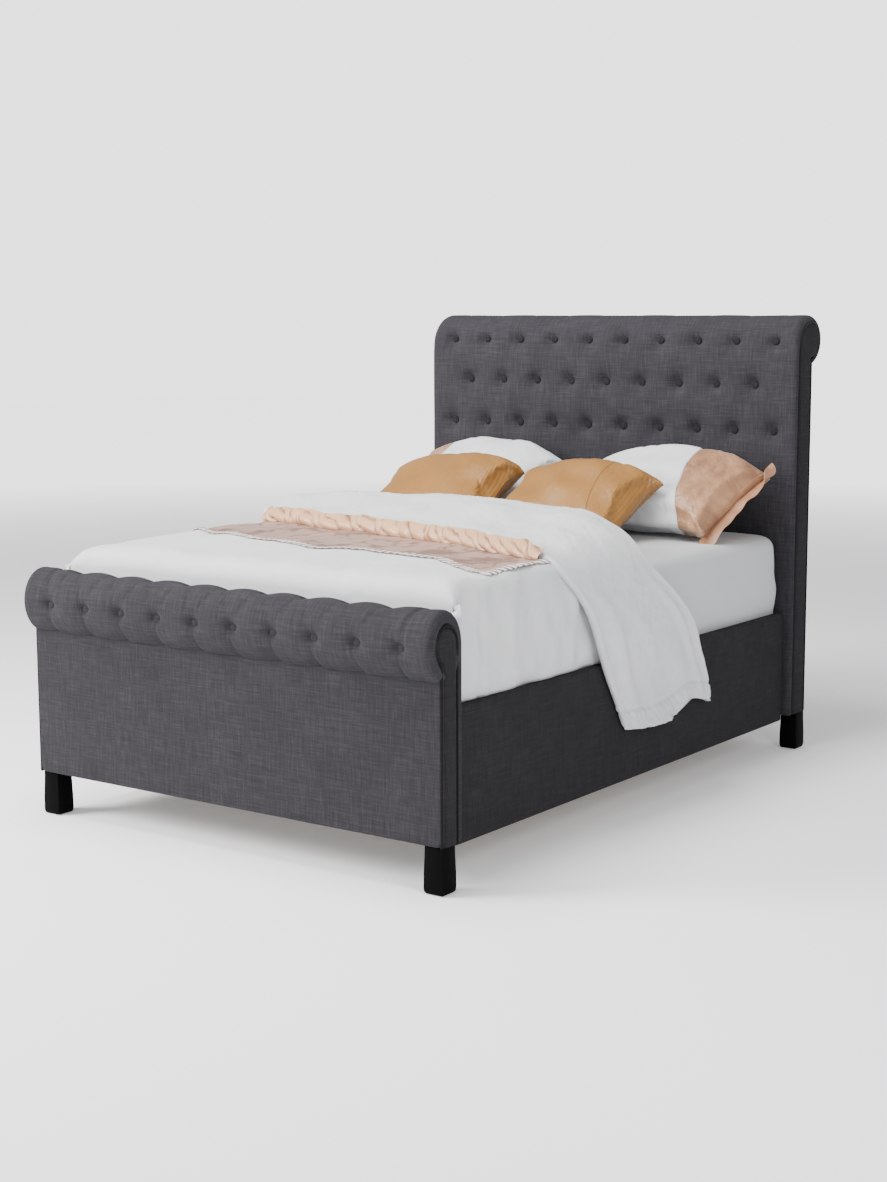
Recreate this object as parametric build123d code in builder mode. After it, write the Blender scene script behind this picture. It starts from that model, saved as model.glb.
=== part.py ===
from build123d import *
from math import cos, hypot, radians, sin
import os

os.makedirs("parts", exist_ok=True)

# All sizes in millimetres. X runs across the bed, +Y from the foot to the head, +Z up from the floor.
# The origin is on the floor, under the middle of the bed's overall width and length.

# Mattress and how it sits in the frame
mattress_width = 1350
mattress_length = 1900
mattress_height = 280
mattress_corner = 45
mattress_edge = 30
mattress_sink = 14  # how far its underside lies below the rail tops
mattress_side_gap = 15
mattress_end_gap = 5

# Feet
foot_size = 62
foot_height = 130
foot_inset = 7
foot_edge = 5
foot_bolt_reach = 45

# Footboard
footboard_height = 750
front_pad = 18
foot_core_depth = 58
inner_pad = 24
foot_roll_height = 192
foot_roll_overhang = 52  # how far the roll stands out in front of the footboard
foot_roll_padding = 33
foot_scroll_radius = 53.5
foot_scroll_drop = 37  # top of the end panel's scroll below the top of the roll
foot_scroll_throat = 38

# Headboard
headboard_height = 1480
head_pad = 48
head_board = 9
head_frame_depth = 63
head_back = 18
head_roll_radius = 85
head_roll_overhang = 62  # how far the roll stands out behind the back
head_roll_padding = 25
head_brow_rise = 100  # height over which the front curves back to the crown of the roll
head_post_width = 120
head_cross_rail_height = 90
head_middle_rail_height = 780

# Ends of both panels
end_cap = 12
piping = 8
head_end_inset = 14

# Side rails
rail_thickness = 30
rail_bottom = 111
rail_top = 482
rail_cloth = 4
rail_step = 30  # rail outer face inside the panel ends

# Deep buttons
button_radius = 14
button_thick = 9
button_edge = 3
button_pocket = 18
button_columns = 10
head_button_end_margin = 93
foot_button_end_margin = 109
head_button_rows = (86, 233, 388)  # below the top of the headboard
head_button_depth = 32
foot_button_depth = 30
foot_button_drop = 100  # front row, below the top of the roll
foot_top_button_back = 14  # top row, behind the crown of the roll

# Slats and what carries them
slat_count = 14
slat_width = 63
slat_thick = 8
slat_rise = 10
slat_clear = 5  # crown of the slats under the mattress
slat_end_clear = 4
slot_clear = 2
holder_wall = 7
holder_cap = 6
holder_depth = 48
holder_length = 73
ledger_width = 35
ledger_height = 40
centre_rail_width = 40
centre_rail_height = 55
centre_leg_radius = 20
centre_leg_count = 2
leg_glide_radius = 26
leg_glide_height = 6

# Steel fittings
bracket_steel = 5
bracket_leg = 60
bracket_height = 170
bracket_lift = 60  # above the bottom of the rail
bracket_bolt_pitch = 100
bolt_radius = 4
bolt_clear = 0.3
bolt_head_radius = 7
bolt_head_thick = 5
panel_bolt_reach = 30  # into the timber
rail_bolt_reach = 16
hanger_steel = 4
hanger_clear = 1
hanger_reach = 50
hanger_wing = 22
hanger_screw_radius = 3
hanger_screw_reach = 20

# Bedding
bedding_clear = 2
duvet_thick = 60
duvet_skirt = 30
duvet_fold_height = 60
duvet_fold_front = (860, 500)  # from the mattress foot end, at the left and at the right
duvet_length = 1221
duvet_side_gap = 7
duvet_rail_gap = 4
duvet_flap_thick = 26
duvet_flap_bottom = 270
duvet_flap_top_span = (535, 1085)  # from the mattress foot end
duvet_flap_hem_span = (835, 1355)
duvet_right_skirt = 610
duvet_edge = 12
pillow_lean = 34
pillow_deep = 480
pillow_thick = 150
pillow_spans = {"left": (-702, -52), "right": (24, 744)}
pillow_head_gap = 6
cushion_deep = 430
cushion_thick = 130
cushion_spans = {"left": (-612, -90), "right": (-44, 505)}
cushion_gap = 5
bedding_rest_gap = 4

# Places that follow from those sizes
rail_inner = mattress_width / 2 + mattress_side_gap
rail_outer = rail_inner + rail_thickness
panel_half = rail_outer + rail_step
cap_inner = panel_half - end_cap
footboard_depth = front_pad + foot_core_depth + inner_pad
headboard_depth = head_pad + head_board + head_frame_depth + head_back
rail_length = mattress_length + 2 * mattress_end_gap
overall_length = foot_roll_overhang + footboard_depth + rail_length + headboard_depth + head_roll_overhang

foot_front = -overall_length / 2 + foot_roll_overhang
foot_core_front = foot_front + front_pad
foot_core_back = foot_core_front + foot_core_depth
foot_inner = foot_front + footboard_depth
mattress_foot = foot_inner + mattress_end_gap
mattress_head = mattress_foot + mattress_length
head_front = foot_inner + rail_length
head_board_front = head_front + head_pad
head_frame_front = head_board_front + head_board
head_frame_back = head_frame_front + head_frame_depth
head_rear = head_frame_back + head_back

foot_roll_depth = foot_roll_overhang + footboard_depth
foot_roll_y = foot_inner - foot_roll_depth / 2
foot_roll_z = footboard_height - foot_roll_height / 2
foot_roll_core = foot_roll_depth / 2 - foot_roll_padding
foot_core_top = foot_roll_z
head_roll_y = head_rear + head_roll_overhang - head_roll_radius
head_roll_z = headboard_height - head_roll_radius
head_roll_core = head_roll_radius - head_roll_padding
head_brow_depth = head_roll_y - head_front
head_frame_top = head_roll_z - head_roll_core + 10

mattress_bottom = rail_top - mattress_sink
mattress_top = mattress_bottom + mattress_height
slat_crown = mattress_bottom - slat_clear
slat_end_bottom = slat_crown - slat_thick - slat_rise
holder_bottom = slat_end_bottom - slot_clear - holder_wall
slot_top = slat_end_bottom + slat_thick + slot_clear + 2
holder_top = slot_top + holder_cap
centre_rail_bottom = holder_bottom - centre_rail_height
bracket_bottom = rail_bottom + bracket_lift

sides = {"left": -1, "right": 1}
ends = {"foot": (foot_inner, 1), "head": (head_front, -1)}


def keep(piece, label):
    piece.part.label = label
    export_step(piece.part, f"parts/{label}.step")


def block(low, high):
    """A plain rectangular piece between two corners."""
    with BuildPart() as piece:
        with BuildSketch(Plane.XY.offset(low[2])):
            with Locations(((low[0] + high[0]) / 2, (low[1] + high[1]) / 2)):
                Rectangle(high[0] - low[0], high[1] - low[1])
        extrude(amount=high[2] - low[2])
    return piece


def cross_bar(y, z, radius, x_from, x_to, mode):
    """A round bar along X, in the part that is being built."""
    with BuildSketch(Plane.YZ.offset(x_from)) as section:
        with Locations((y, z)):
            Circle(radius)
    extrude(section.sketch, amount=x_to - x_from, mode=mode)


def long_bar(x, z, radius, y_from, y_to, mode):
    """A round bar along Y, in the part that is being built."""
    with BuildSketch(Plane.XZ.offset(-y_from)) as section:
        with Locations((x, z)):
            Circle(radius)
    extrude(section.sketch, amount=y_from - y_to, mode=mode)


# Where the fastenings go, shared by the fastenings and by the holes for them


def bracket_bolt_heights():
    middle = bracket_bottom + bracket_height / 2
    return [middle - bracket_bolt_pitch / 2, middle + bracket_bolt_pitch / 2]


def panel_bolt_x(side):
    return side * (rail_inner - bracket_leg / 2)


def rail_bolt_y(end):
    face, inward = ends[end]
    return face + inward * bracket_leg / 2


def hanger_screw_places():
    height = centre_rail_bottom + centre_rail_height / 2
    spread = centre_rail_width / 2 + hanger_clear + hanger_steel + hanger_wing / 2
    return [(-spread, height), (spread, height)]


def drill_panel(end, reach):
    """Holes that the bracket bolts and hanger screws need in a panel's layers."""
    face, inward = ends[end]
    for side in sides.values():
        for height in bracket_bolt_heights():
            long_bar(panel_bolt_x(side), height, bolt_radius + bolt_clear, face, face - inward * reach, Mode.SUBTRACT)
    for x, height in hanger_screw_places():
        screw = hanger_screw_radius + bolt_clear
        long_bar(x, height, screw, face, face - inward * hanger_screw_depth(end), Mode.SUBTRACT)


def panel_bolt_depth(end):
    if end == "foot":
        return inner_pad + panel_bolt_reach
    return head_pad + head_board + panel_bolt_reach


def hanger_screw_depth(end):
    if end == "foot":
        return inner_pad + hanger_screw_reach
    return head_pad + head_board + hanger_screw_reach


def foot_places():
    x = panel_half - foot_inset - foot_size / 2
    front_y = foot_front + foot_inset + foot_size / 2
    back_y = head_rear - foot_inset - foot_size / 2
    return {
        "front_left": (-x, front_y),
        "front_right": (x, front_y),
        "back_left": (-x, back_y),
        "back_right": (x, back_y),
    }


def drill_feet_bolts(names):
    """Holes for the bolts that hold the feet."""
    for name in names:
        x, y = foot_places()[name]
        with BuildSketch(Plane.XY.offset(foot_height)) as hole:
            with Locations((x, y)):
                Circle(bolt_radius + bolt_clear)
        extrude(hole.sketch, amount=foot_bolt_reach, mode=Mode.SUBTRACT)


# Outlines of the two panels seen from the side, in Y and Z


def foot_roll_outline(inset=0):
    with BuildSketch() as outline:
        with Locations((foot_roll_y, foot_roll_z)):
            Ellipse(foot_roll_depth / 2 - inset, foot_roll_height / 2 - inset)
    return outline.sketch


def foot_end_outline(inset):
    """The scrolled end of the footboard: an upright with a round head that leans out at the front."""
    depth = foot_core_back - foot_front
    head_y = foot_core_back - foot_scroll_radius
    head_z = footboard_height - foot_scroll_drop - foot_scroll_radius
    with BuildSketch() as outline:
        with Locations((foot_front + depth / 2, (foot_height + head_z) / 2)):
            Rectangle(depth, head_z - foot_height)
        with Locations((head_y, head_z)):
            Circle(foot_scroll_radius)
        reach = head_y - foot_front
        throat_z = head_z - (foot_scroll_radius**2 - reach**2) ** 0.5
        throat = outline.vertices().sort_by_distance((foot_front, throat_z, 0))[0]
        fillet(throat, foot_scroll_throat)
        if inset > 0:
            offset(amount=-inset, mode=Mode.REPLACE)
    return outline.sketch


def headboard_outline(inset=0):
    """The side of the headboard: flat front, a brow that curves back, and a roll behind."""
    front = head_front + inset
    rear = head_rear - inset
    bottom = foot_height + inset
    brow_z = headboard_height - head_brow_rise
    roll = head_roll_radius - inset
    tail_z = head_roll_z - (roll**2 - (rear - head_roll_y) ** 2) ** 0.5
    with BuildSketch() as outline:
        with BuildLine():
            Line((front, bottom), (front, brow_z))
            EllipticalCenterArc(
                center=(head_roll_y, brow_z),
                x_radius=head_brow_depth - inset,
                y_radius=head_brow_rise - inset,
                start_angle=90,
                arc_size=90,
            )
            ThreePointArc((head_roll_y, head_roll_z + roll), (head_roll_y + roll, head_roll_z), (rear, tail_z))
            Line((rear, tail_z), (rear, bottom))
            Line((rear, bottom), (front, bottom))
        make_face()
    return outline.sketch


def head_former_outline():
    """Round former of the headboard's roll, flat underneath and planed flush with the frame's front."""
    with BuildSketch() as outline:
        with Locations((head_roll_y, head_roll_z)):
            Circle(head_roll_core)
        with Locations((head_roll_y, head_frame_top - head_roll_radius)):
            Rectangle(4 * head_roll_radius, 2 * head_roll_radius, mode=Mode.SUBTRACT)
        with Locations((head_frame_front - head_roll_radius, head_roll_z)):
            Rectangle(2 * head_roll_radius, 4 * head_roll_radius, mode=Mode.SUBTRACT)
    return outline.sketch


def foot_former_outline():
    """Round former of the footboard's roll, over the top of the board."""
    with BuildSketch() as outline:
        add(foot_roll_outline(foot_roll_padding))
        with Locations((foot_core_front + foot_core_depth / 2, foot_core_top - footboard_height / 2)):
            Rectangle(foot_core_depth, footboard_height, mode=Mode.SUBTRACT)
        with Locations((foot_roll_y, foot_core_top - footboard_height / 2)):
            Rectangle(2 * foot_roll_depth, footboard_height, mode=Mode.SUBTRACT)
    return outline.sketch


# Buttons: rows of (x, y or z) places on each panel


def button_row(staggered, margin):
    """Evenly spaced places across a panel; a staggered row sits between the places of a full one."""
    pitch = (2 * panel_half - 2 * margin) / (button_columns - 1)
    count = button_columns - 1 if staggered else button_columns
    first = -(count - 1) * pitch / 2
    return [first + index * pitch for index in range(count)]


def head_button_places():
    places = []
    for index, drop in enumerate(head_button_rows):
        staggered = index % 2 == 1
        places += [(x, headboard_height - drop) for x in button_row(staggered, head_button_end_margin)]
    return places


def front_button_plane(y):
    """A plane across the bed at y that faces the foot end, with X and Z as its own axes."""
    return Plane(origin=(0, y, 0), x_dir=(1, 0, 0), z_dir=(0, -1, 0))


def cut_pockets(plane, places, depth):
    with BuildSketch(plane) as mouths:
        with Locations(*places):
            Circle(button_pocket)
    extrude(mouths.sketch, amount=-depth, mode=Mode.SUBTRACT)


def add_buttons(plane, places):
    """Domed buttons that stand on a plane."""
    with BuildSketch(plane) as discs:
        with Locations(*places):
            Circle(button_radius)
    extrude(discs.sketch, amount=button_thick)


def build_headboard():
    with BuildPart() as cover:
        with BuildSketch(Plane.YZ.offset(-cap_inner)) as section:
            add(headboard_outline())
            inner_depth = head_rear - head_board_front
            with Locations((head_board_front + inner_depth / 2, (foot_height + head_frame_top) / 2)):
                Rectangle(inner_depth, head_frame_top - foot_height, mode=Mode.SUBTRACT)
            add(head_former_outline(), mode=Mode.SUBTRACT)
        extrude(amount=2 * cap_inner)
        cut_pockets(front_button_plane(head_front), head_button_places(), head_button_depth)
        drill_panel("head", panel_bolt_depth("head"))
    keep(cover, "headboard_cover")

    with BuildPart() as buttons:
        add_buttons(front_button_plane(head_front + head_button_depth), head_button_places())
        fillet(buttons.edges().filter_by(GeomType.CIRCLE).group_by(Axis.Y)[0], button_edge)
    keep(buttons, "headboard_buttons")

    with BuildPart() as board:
        with BuildSketch(Plane.XY.offset(foot_height)):
            with Locations((0, head_board_front + head_board / 2)):
                Rectangle(2 * cap_inner, head_board)
        extrude(amount=head_frame_top - foot_height)
        drill_panel("head", panel_bolt_depth("head"))
    keep(board, "headboard_front_board")

    post_inner = cap_inner - head_post_width
    for name, side in sides.items():
        with BuildPart() as post:
            with BuildSketch(Plane.XY.offset(foot_height)):
                with Locations((side * (cap_inner - head_post_width / 2), head_frame_front + head_frame_depth / 2)):
                    Rectangle(head_post_width, head_frame_depth)
            extrude(amount=head_frame_top - foot_height)
            drill_panel("head", panel_bolt_depth("head"))
            drill_feet_bolts([f"back_{name}"])
        keep(post, f"headboard_post_{name}")

    cross_rails = {
        "top": head_frame_top - head_cross_rail_height,
        "middle": head_middle_rail_height,
        "bottom": centre_rail_bottom + centre_rail_height / 2 - head_cross_rail_height / 2,
    }
    for name, bottom in cross_rails.items():
        with BuildPart() as rail:
            with BuildSketch(Plane.XY.offset(bottom)):
                with Locations((0, head_frame_front + head_frame_depth / 2)):
                    Rectangle(2 * post_inner, head_frame_depth)
            extrude(amount=head_cross_rail_height)
            drill_panel("head", panel_bolt_depth("head"))
        keep(rail, f"headboard_cross_rail_{name}")

    with BuildPart() as former:
        with BuildSketch(Plane.YZ.offset(-cap_inner)):
            add(head_former_outline())
        extrude(amount=2 * cap_inner)
    keep(former, "headboard_roll_former")

    back = block((-cap_inner, head_frame_back, foot_height), (cap_inner, head_rear, head_frame_top))
    keep(back, "headboard_back_panel")

    for name, side in sides.items():
        with BuildPart() as cap:
            with BuildSketch(Plane.YZ.offset(side * cap_inner)):
                add(headboard_outline(head_end_inset + piping))
            extrude(amount=side * end_cap)
        keep(cap, f"headboard_end_cap_{name}")
        with BuildPart() as cord:
            with BuildSketch(Plane.YZ.offset(side * cap_inner)):
                add(headboard_outline(head_end_inset))
                add(headboard_outline(head_end_inset + piping), mode=Mode.SUBTRACT)
            extrude(amount=side * piping)
        keep(cord, f"headboard_piping_{name}")


def build_footboard():
    with BuildPart() as roll:
        with BuildSketch(Plane.YZ.offset(-cap_inner)) as section:
            add(foot_roll_outline())
            with Locations((foot_core_front + foot_core_depth / 2, foot_core_top / 2)):
                Rectangle(foot_core_depth, foot_core_top, mode=Mode.SUBTRACT)
            add(foot_former_outline(), mode=Mode.SUBTRACT)
        extrude(amount=2 * cap_inner)
        front_row = [(x, footboard_height - foot_button_drop) for x in button_row(False, foot_button_end_margin)]
        cut_pockets(front_button_plane(foot_front - foot_roll_overhang), front_row, foot_button_depth)
        crown_y = foot_roll_y + foot_top_button_back
        top_row = [(x, crown_y) for x in button_row(True, foot_button_end_margin)]
        cut_pockets(Plane.XY.offset(footboard_height), top_row, foot_button_depth)
    keep(roll, "footboard_roll_cover")

    with BuildPart() as buttons:
        add_buttons(front_button_plane(foot_front - foot_roll_overhang + foot_button_depth), front_row)
        fillet(buttons.edges().filter_by(GeomType.CIRCLE).group_by(Axis.Y)[0], button_edge)
        add_buttons(Plane.XY.offset(footboard_height - foot_button_depth), top_row)
        fillet(buttons.edges().filter_by(GeomType.CIRCLE).group_by(Axis.Z)[-1], button_edge)
    keep(buttons, "footboard_buttons")

    with BuildPart() as former:
        with BuildSketch(Plane.YZ.offset(-cap_inner)):
            add(foot_former_outline())
        extrude(amount=2 * cap_inner)
    keep(former, "footboard_roll_former")

    with BuildPart() as core:
        with BuildSketch(Plane.XY.offset(foot_height)):
            with Locations((0, foot_core_front + foot_core_depth / 2)):
                Rectangle(2 * cap_inner, foot_core_depth)
        extrude(amount=foot_core_top - foot_height)
        drill_panel("foot", panel_bolt_depth("foot"))
        drill_feet_bolts(["front_left", "front_right"])
    keep(core, "footboard_core")

    for label, y_from, y_to in (
        ("footboard_front_panel", foot_front, foot_core_front),
        ("footboard_inner_panel", foot_core_back, foot_inner),
    ):
        with BuildPart() as panel:
            with BuildSketch(Plane.YZ.offset(-cap_inner)):
                with Locations(((y_from + y_to) / 2, (foot_height + foot_roll_z) / 2)):
                    Rectangle(y_to - y_from, foot_roll_z - foot_height)
                add(foot_roll_outline(), mode=Mode.SUBTRACT)
            extrude(amount=2 * cap_inner)
            if y_to == foot_inner:
                drill_panel("foot", panel_bolt_depth("foot"))
        keep(panel, label)

    for name, side in sides.items():
        with BuildPart() as cap:
            with BuildSketch(Plane.YZ.offset(side * cap_inner)):
                add(foot_end_outline(piping))
            extrude(amount=side * end_cap)
        keep(cap, f"footboard_end_cap_{name}")
        with BuildPart() as cord:
            with BuildSketch(Plane.YZ.offset(side * cap_inner)):
                add(foot_end_outline(0))
                add(foot_end_outline(piping), mode=Mode.SUBTRACT)
            extrude(amount=side * piping)
        keep(cord, f"footboard_piping_{name}")


def build_feet():
    for name, (x, y) in foot_places().items():
        with BuildPart() as foot:
            with BuildSketch():
                with Locations((x, y)):
                    Rectangle(foot_size, foot_size)
            extrude(amount=foot_height)
            fillet(foot.edges().filter_by(Axis.Z), foot_edge)
            chamfer(foot.faces().sort_by(Axis.Z)[0].edges(), foot_edge / 2)
            with BuildSketch(Plane.XY.offset(foot_height)) as bore:
                with Locations((x, y)):
                    Circle(bolt_radius + bolt_clear)
            extrude(bore.sketch, amount=-foot_bolt_reach, mode=Mode.SUBTRACT)
        keep(foot, f"foot_{name}")

    with BuildPart() as bolts:
        with BuildSketch(Plane.XY.offset(foot_height - foot_bolt_reach)):
            with Locations(*foot_places().values()):
                Circle(bolt_radius)
        extrude(amount=2 * foot_bolt_reach)
    keep(bolts, "foot_bolts")


def drill_rail(side):
    """Holes that the bracket bolts need in a rail."""
    start = side * rail_inner
    reach = rail_cloth + rail_bolt_reach
    for end in ends:
        for height in bracket_bolt_heights():
            hole = bolt_radius + bolt_clear
            cross_bar(rail_bolt_y(end), height, hole, start, start + side * reach, Mode.SUBTRACT)


def build_rails():
    for name, side in sides.items():
        middle = side * (rail_inner + rail_thickness / 2)
        height = rail_top - rail_bottom
        with BuildPart() as core:
            with BuildSketch(Plane.XZ.offset(-foot_inner)):
                with Locations((middle, rail_bottom + height / 2)):
                    Rectangle(rail_thickness - 2 * rail_cloth, height - 2 * rail_cloth)
            extrude(amount=-rail_length)
            drill_rail(side)
        keep(core, f"side_rail_core_{name}")

        with BuildPart() as cover:
            with BuildSketch(Plane.XZ.offset(-foot_inner)):
                with Locations((middle, rail_bottom + height / 2)):
                    Rectangle(rail_thickness, height)
                    Rectangle(rail_thickness - 2 * rail_cloth, height - 2 * rail_cloth, mode=Mode.SUBTRACT)
            extrude(amount=-rail_length)
            drill_rail(side)
        keep(cover, f"side_rail_cover_{name}")

        inner, outer = sorted((side * (rail_inner - ledger_width), side * rail_inner))
        clear = bracket_leg + bolt_head_thick
        ledger = block(
            (inner, foot_inner + clear, holder_bottom - ledger_height),
            (outer, head_front - clear, holder_bottom),
        )
        keep(ledger, f"slat_ledger_{name}")


def build_brackets():
    for end, (face, inward) in ends.items():
        for name, side in sides.items():
            with BuildPart() as bracket:
                with BuildSketch(Plane.XY.offset(bracket_bottom)):
                    corner = (side * rail_inner, face)
                    with Locations((corner[0] - side * bracket_leg / 2, face + inward * bracket_steel / 2)):
                        Rectangle(bracket_leg, bracket_steel)
                    with Locations((corner[0] - side * bracket_steel / 2, face + inward * bracket_leg / 2)):
                        Rectangle(bracket_steel, bracket_leg)
                extrude(amount=bracket_height)
                for height in bracket_bolt_heights():
                    hole = bolt_radius + bolt_clear
                    long_bar(panel_bolt_x(side), height, hole, face, face + inward * bracket_steel, Mode.SUBTRACT)
                    start = side * rail_inner
                    cross_bar(rail_bolt_y(end), height, hole, start - side * bracket_steel, start, Mode.SUBTRACT)
            keep(bracket, f"corner_bracket_{end}_{name}")

    with BuildPart() as bolts:
        for end, (face, inward) in ends.items():
            for side in sides.values():
                for height in bracket_bolt_heights():
                    seat = face + inward * bracket_steel
                    x = panel_bolt_x(side)
                    tip = face - inward * (panel_bolt_depth(end) - bolt_clear)
                    long_bar(x, height, bolt_head_radius, seat, seat + inward * bolt_head_thick, Mode.ADD)
                    long_bar(x, height, bolt_radius, seat, tip, Mode.ADD)
                    start = side * (rail_inner - bracket_steel)
                    y = rail_bolt_y(end)
                    tip_x = side * (rail_inner + rail_cloth + rail_bolt_reach - bolt_clear)
                    cross_bar(y, height, bolt_head_radius, start - side * bolt_head_thick, start, Mode.ADD)
                    cross_bar(y, height, bolt_radius, start, tip_x, Mode.ADD)
    keep(bolts, "bracket_bolts")


def build_centre_rail():
    gap = hanger_steel + hanger_clear
    rail = block(
        (-centre_rail_width / 2, foot_inner + gap, centre_rail_bottom),
        (centre_rail_width / 2, head_front - gap, holder_bottom),
    )
    keep(rail, "centre_rail")

    shelf = centre_rail_bottom - hanger_clear - hanger_steel
    cheek = centre_rail_width / 2 + hanger_clear
    for end, (face, inward) in ends.items():
        with BuildPart() as hanger:
            with BuildSketch(front_button_plane(face)):
                height = centre_rail_height + hanger_clear + hanger_steel
                with Locations((0, shelf + height / 2)):
                    Rectangle(2 * (cheek + hanger_steel + hanger_wing), height)
                with Locations(*hanger_screw_places()):
                    Circle(hanger_screw_radius + bolt_clear, mode=Mode.SUBTRACT)
            extrude(amount=-inward * hanger_steel)
            with BuildSketch(front_button_plane(face)):
                with Locations((0, shelf + height / 2)):
                    Rectangle(2 * (cheek + hanger_steel), height)
                with Locations((0, shelf + hanger_steel + height / 2)):
                    Rectangle(2 * cheek, height, mode=Mode.SUBTRACT)
            extrude(amount=-inward * hanger_reach)
        keep(hanger, f"centre_rail_hanger_{end}")

    with BuildPart() as screws:
        for end, (face, inward) in ends.items():
            for x, height in hanger_screw_places():
                seat = face + inward * hanger_steel
                tip = face - inward * (hanger_screw_depth(end) - bolt_clear)
                long_bar(x, height, 2 * hanger_screw_radius, seat, seat + inward * hanger_screw_radius, Mode.ADD)
                long_bar(x, height, hanger_screw_radius, seat, tip, Mode.ADD)
    keep(screws, "hanger_screws")

    for index in range(centre_leg_count):
        y = foot_inner + rail_length * (index + 1) / (centre_leg_count + 1)
        with BuildPart() as leg:
            with BuildSketch():
                with Locations((0, y)):
                    Circle(leg_glide_radius)
            extrude(amount=leg_glide_height)
            with BuildSketch(Plane.XY.offset(leg_glide_height)):
                with Locations((0, y)):
                    Circle(centre_leg_radius)
            extrude(amount=centre_rail_bottom - leg_glide_height)
        keep(leg, f"centre_leg_{index + 1}")


def slat_places():
    clear = bracket_leg + bolt_head_thick + holder_length / 2
    first = foot_inner + clear
    pitch = (rail_length - 2 * clear) / (slat_count - 1)
    return [first + index * pitch for index in range(slat_count)]


def build_slats():
    slat_inner = slat_end_clear + holder_wall
    slat_outer = rail_inner - slat_end_clear - holder_wall
    middle = (slat_inner + slat_outer) / 2
    top = slat_end_bottom + slat_thick
    for name, side in sides.items():
        with BuildPart() as slats:
            for y in slat_places():
                with BuildSketch(Plane.XZ.offset(-y)):
                    with BuildLine():
                        near = side * slat_inner
                        far = side * slat_outer
                        crown = side * middle
                        ThreePointArc(
                            (near, slat_end_bottom), (crown, slat_end_bottom + slat_rise), (far, slat_end_bottom)
                        )
                        Line((far, slat_end_bottom), (far, top))
                        ThreePointArc((far, top), (crown, top + slat_rise), (near, top))
                        Line((near, top), (near, slat_end_bottom))
                    make_face()
                extrude(amount=slat_width / 2, both=True)
        keep(slats, f"slats_{name}")

        with BuildPart() as holders:
            wall_x = side * (rail_inner - holder_wall)
            mouth_x = side * (rail_inner - holder_depth)
            for y in slat_places():
                with BuildSketch(Plane.XZ.offset(-y)):
                    with Locations((side * (rail_inner - holder_depth / 2), (holder_bottom + holder_top) / 2)):
                        Rectangle(holder_depth, holder_top - holder_bottom)
                    slot_bottom = holder_bottom + holder_wall
                    with Locations(((wall_x + mouth_x) / 2, (slot_bottom + slot_top) / 2)):
                        Rectangle(holder_depth - holder_wall, slot_top - slot_bottom, mode=Mode.SUBTRACT)
                extrude(amount=holder_length / 2, both=True)
        keep(holders, f"slat_holders_{name}")

    with BuildPart() as middle_holders:
        for y in slat_places():
            with BuildSketch(Plane.XZ.offset(-y)):
                with Locations((0, (holder_bottom + holder_top) / 2)):
                    Rectangle(2 * holder_depth, holder_top - holder_bottom)
                slot_bottom = holder_bottom + holder_wall
                for side in sides.values():
                    slot = holder_depth - holder_wall
                    with Locations((side * (holder_wall + slot / 2), (slot_bottom + slot_top) / 2)):
                        Rectangle(slot, slot_top - slot_bottom, mode=Mode.SUBTRACT)
            extrude(amount=holder_length / 2, both=True)
    keep(middle_holders, "slat_holders_centre")


def build_mattress():
    with BuildPart() as mattress:
        with BuildSketch(Plane.XY.offset(mattress_bottom)):
            with Locations((0, (mattress_foot + mattress_head) / 2)):
                RectangleRounded(mattress_width, mattress_length, mattress_corner)
        extrude(amount=mattress_height)
        fillet(mattress.faces().sort_by(Axis.Z)[0].edges(), mattress_edge)
        fillet(mattress.faces().sort_by(Axis.Z)[-1].edges(), mattress_edge)
    keep(mattress, "mattress")


def build_duvet():
    bottom = mattress_top + bedding_clear
    top = bottom + duvet_thick
    skirt_inner = mattress_width / 2 + duvet_side_gap
    skirt_outer = skirt_inner + duvet_skirt
    skirt_bottom = rail_top + duvet_rail_gap
    with BuildPart() as duvet:
        with BuildSketch(Plane.XY.offset(bottom)):
            with Locations((0, mattress_foot + duvet_length / 2)):
                Rectangle(2 * skirt_outer, duvet_length)
        extrude(amount=duvet_thick)

        # sides that hang between the mattress and the rails
        for side, length in ((-1, duvet_length), (1, duvet_right_skirt)):
            with BuildSketch(Plane.XY.offset(skirt_bottom)):
                with Locations((side * (skirt_inner + skirt_outer) / 2, mattress_foot + length / 2)):
                    Rectangle(duvet_skirt, length)
            extrude(amount=bottom - skirt_bottom)

        # top turned back on itself, deeper on the right
        with BuildSketch(Plane.XY.offset(top)):
            with BuildLine():
                Polyline(
                    (-skirt_outer, mattress_foot + duvet_fold_front[0]),
                    (skirt_outer, mattress_foot + duvet_fold_front[1]),
                    (skirt_outer, mattress_foot + duvet_flap_top_span[1]),
                    (skirt_outer - duvet_skirt, mattress_foot + duvet_length),
                    (-skirt_outer, mattress_foot + duvet_length),
                    close=True,
                )
            make_face()
        extrude(amount=duvet_fold_height)

        # corner that falls outside the right rail
        flap_outer = panel_half
        flap_inner = flap_outer - duvet_flap_thick
        bridge = duvet_flap_top_span[1] - duvet_flap_top_span[0]
        with BuildSketch(Plane.XY.offset(bottom)):
            with Locations(((skirt_outer + flap_outer) / 2, mattress_foot + duvet_flap_top_span[0] + bridge / 2)):
                Rectangle(flap_outer - skirt_outer, bridge)
        extrude(amount=duvet_thick)
        with BuildSketch(Plane.YZ.offset(flap_inner)):
            with BuildLine():
                Polyline(
                    (mattress_foot + duvet_flap_top_span[0], bottom),
                    (mattress_foot + duvet_flap_hem_span[0], duvet_flap_bottom),
                    (mattress_foot + duvet_flap_hem_span[1], duvet_flap_bottom),
                    (mattress_foot + duvet_flap_top_span[1], bottom),
                    close=True,
                )
            make_face()
        extrude(amount=duvet_flap_thick)
        fillet(duvet.faces().sort_by(Axis.Z)[-1].edges(), duvet_edge)
    keep(duvet, "duvet")


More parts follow.
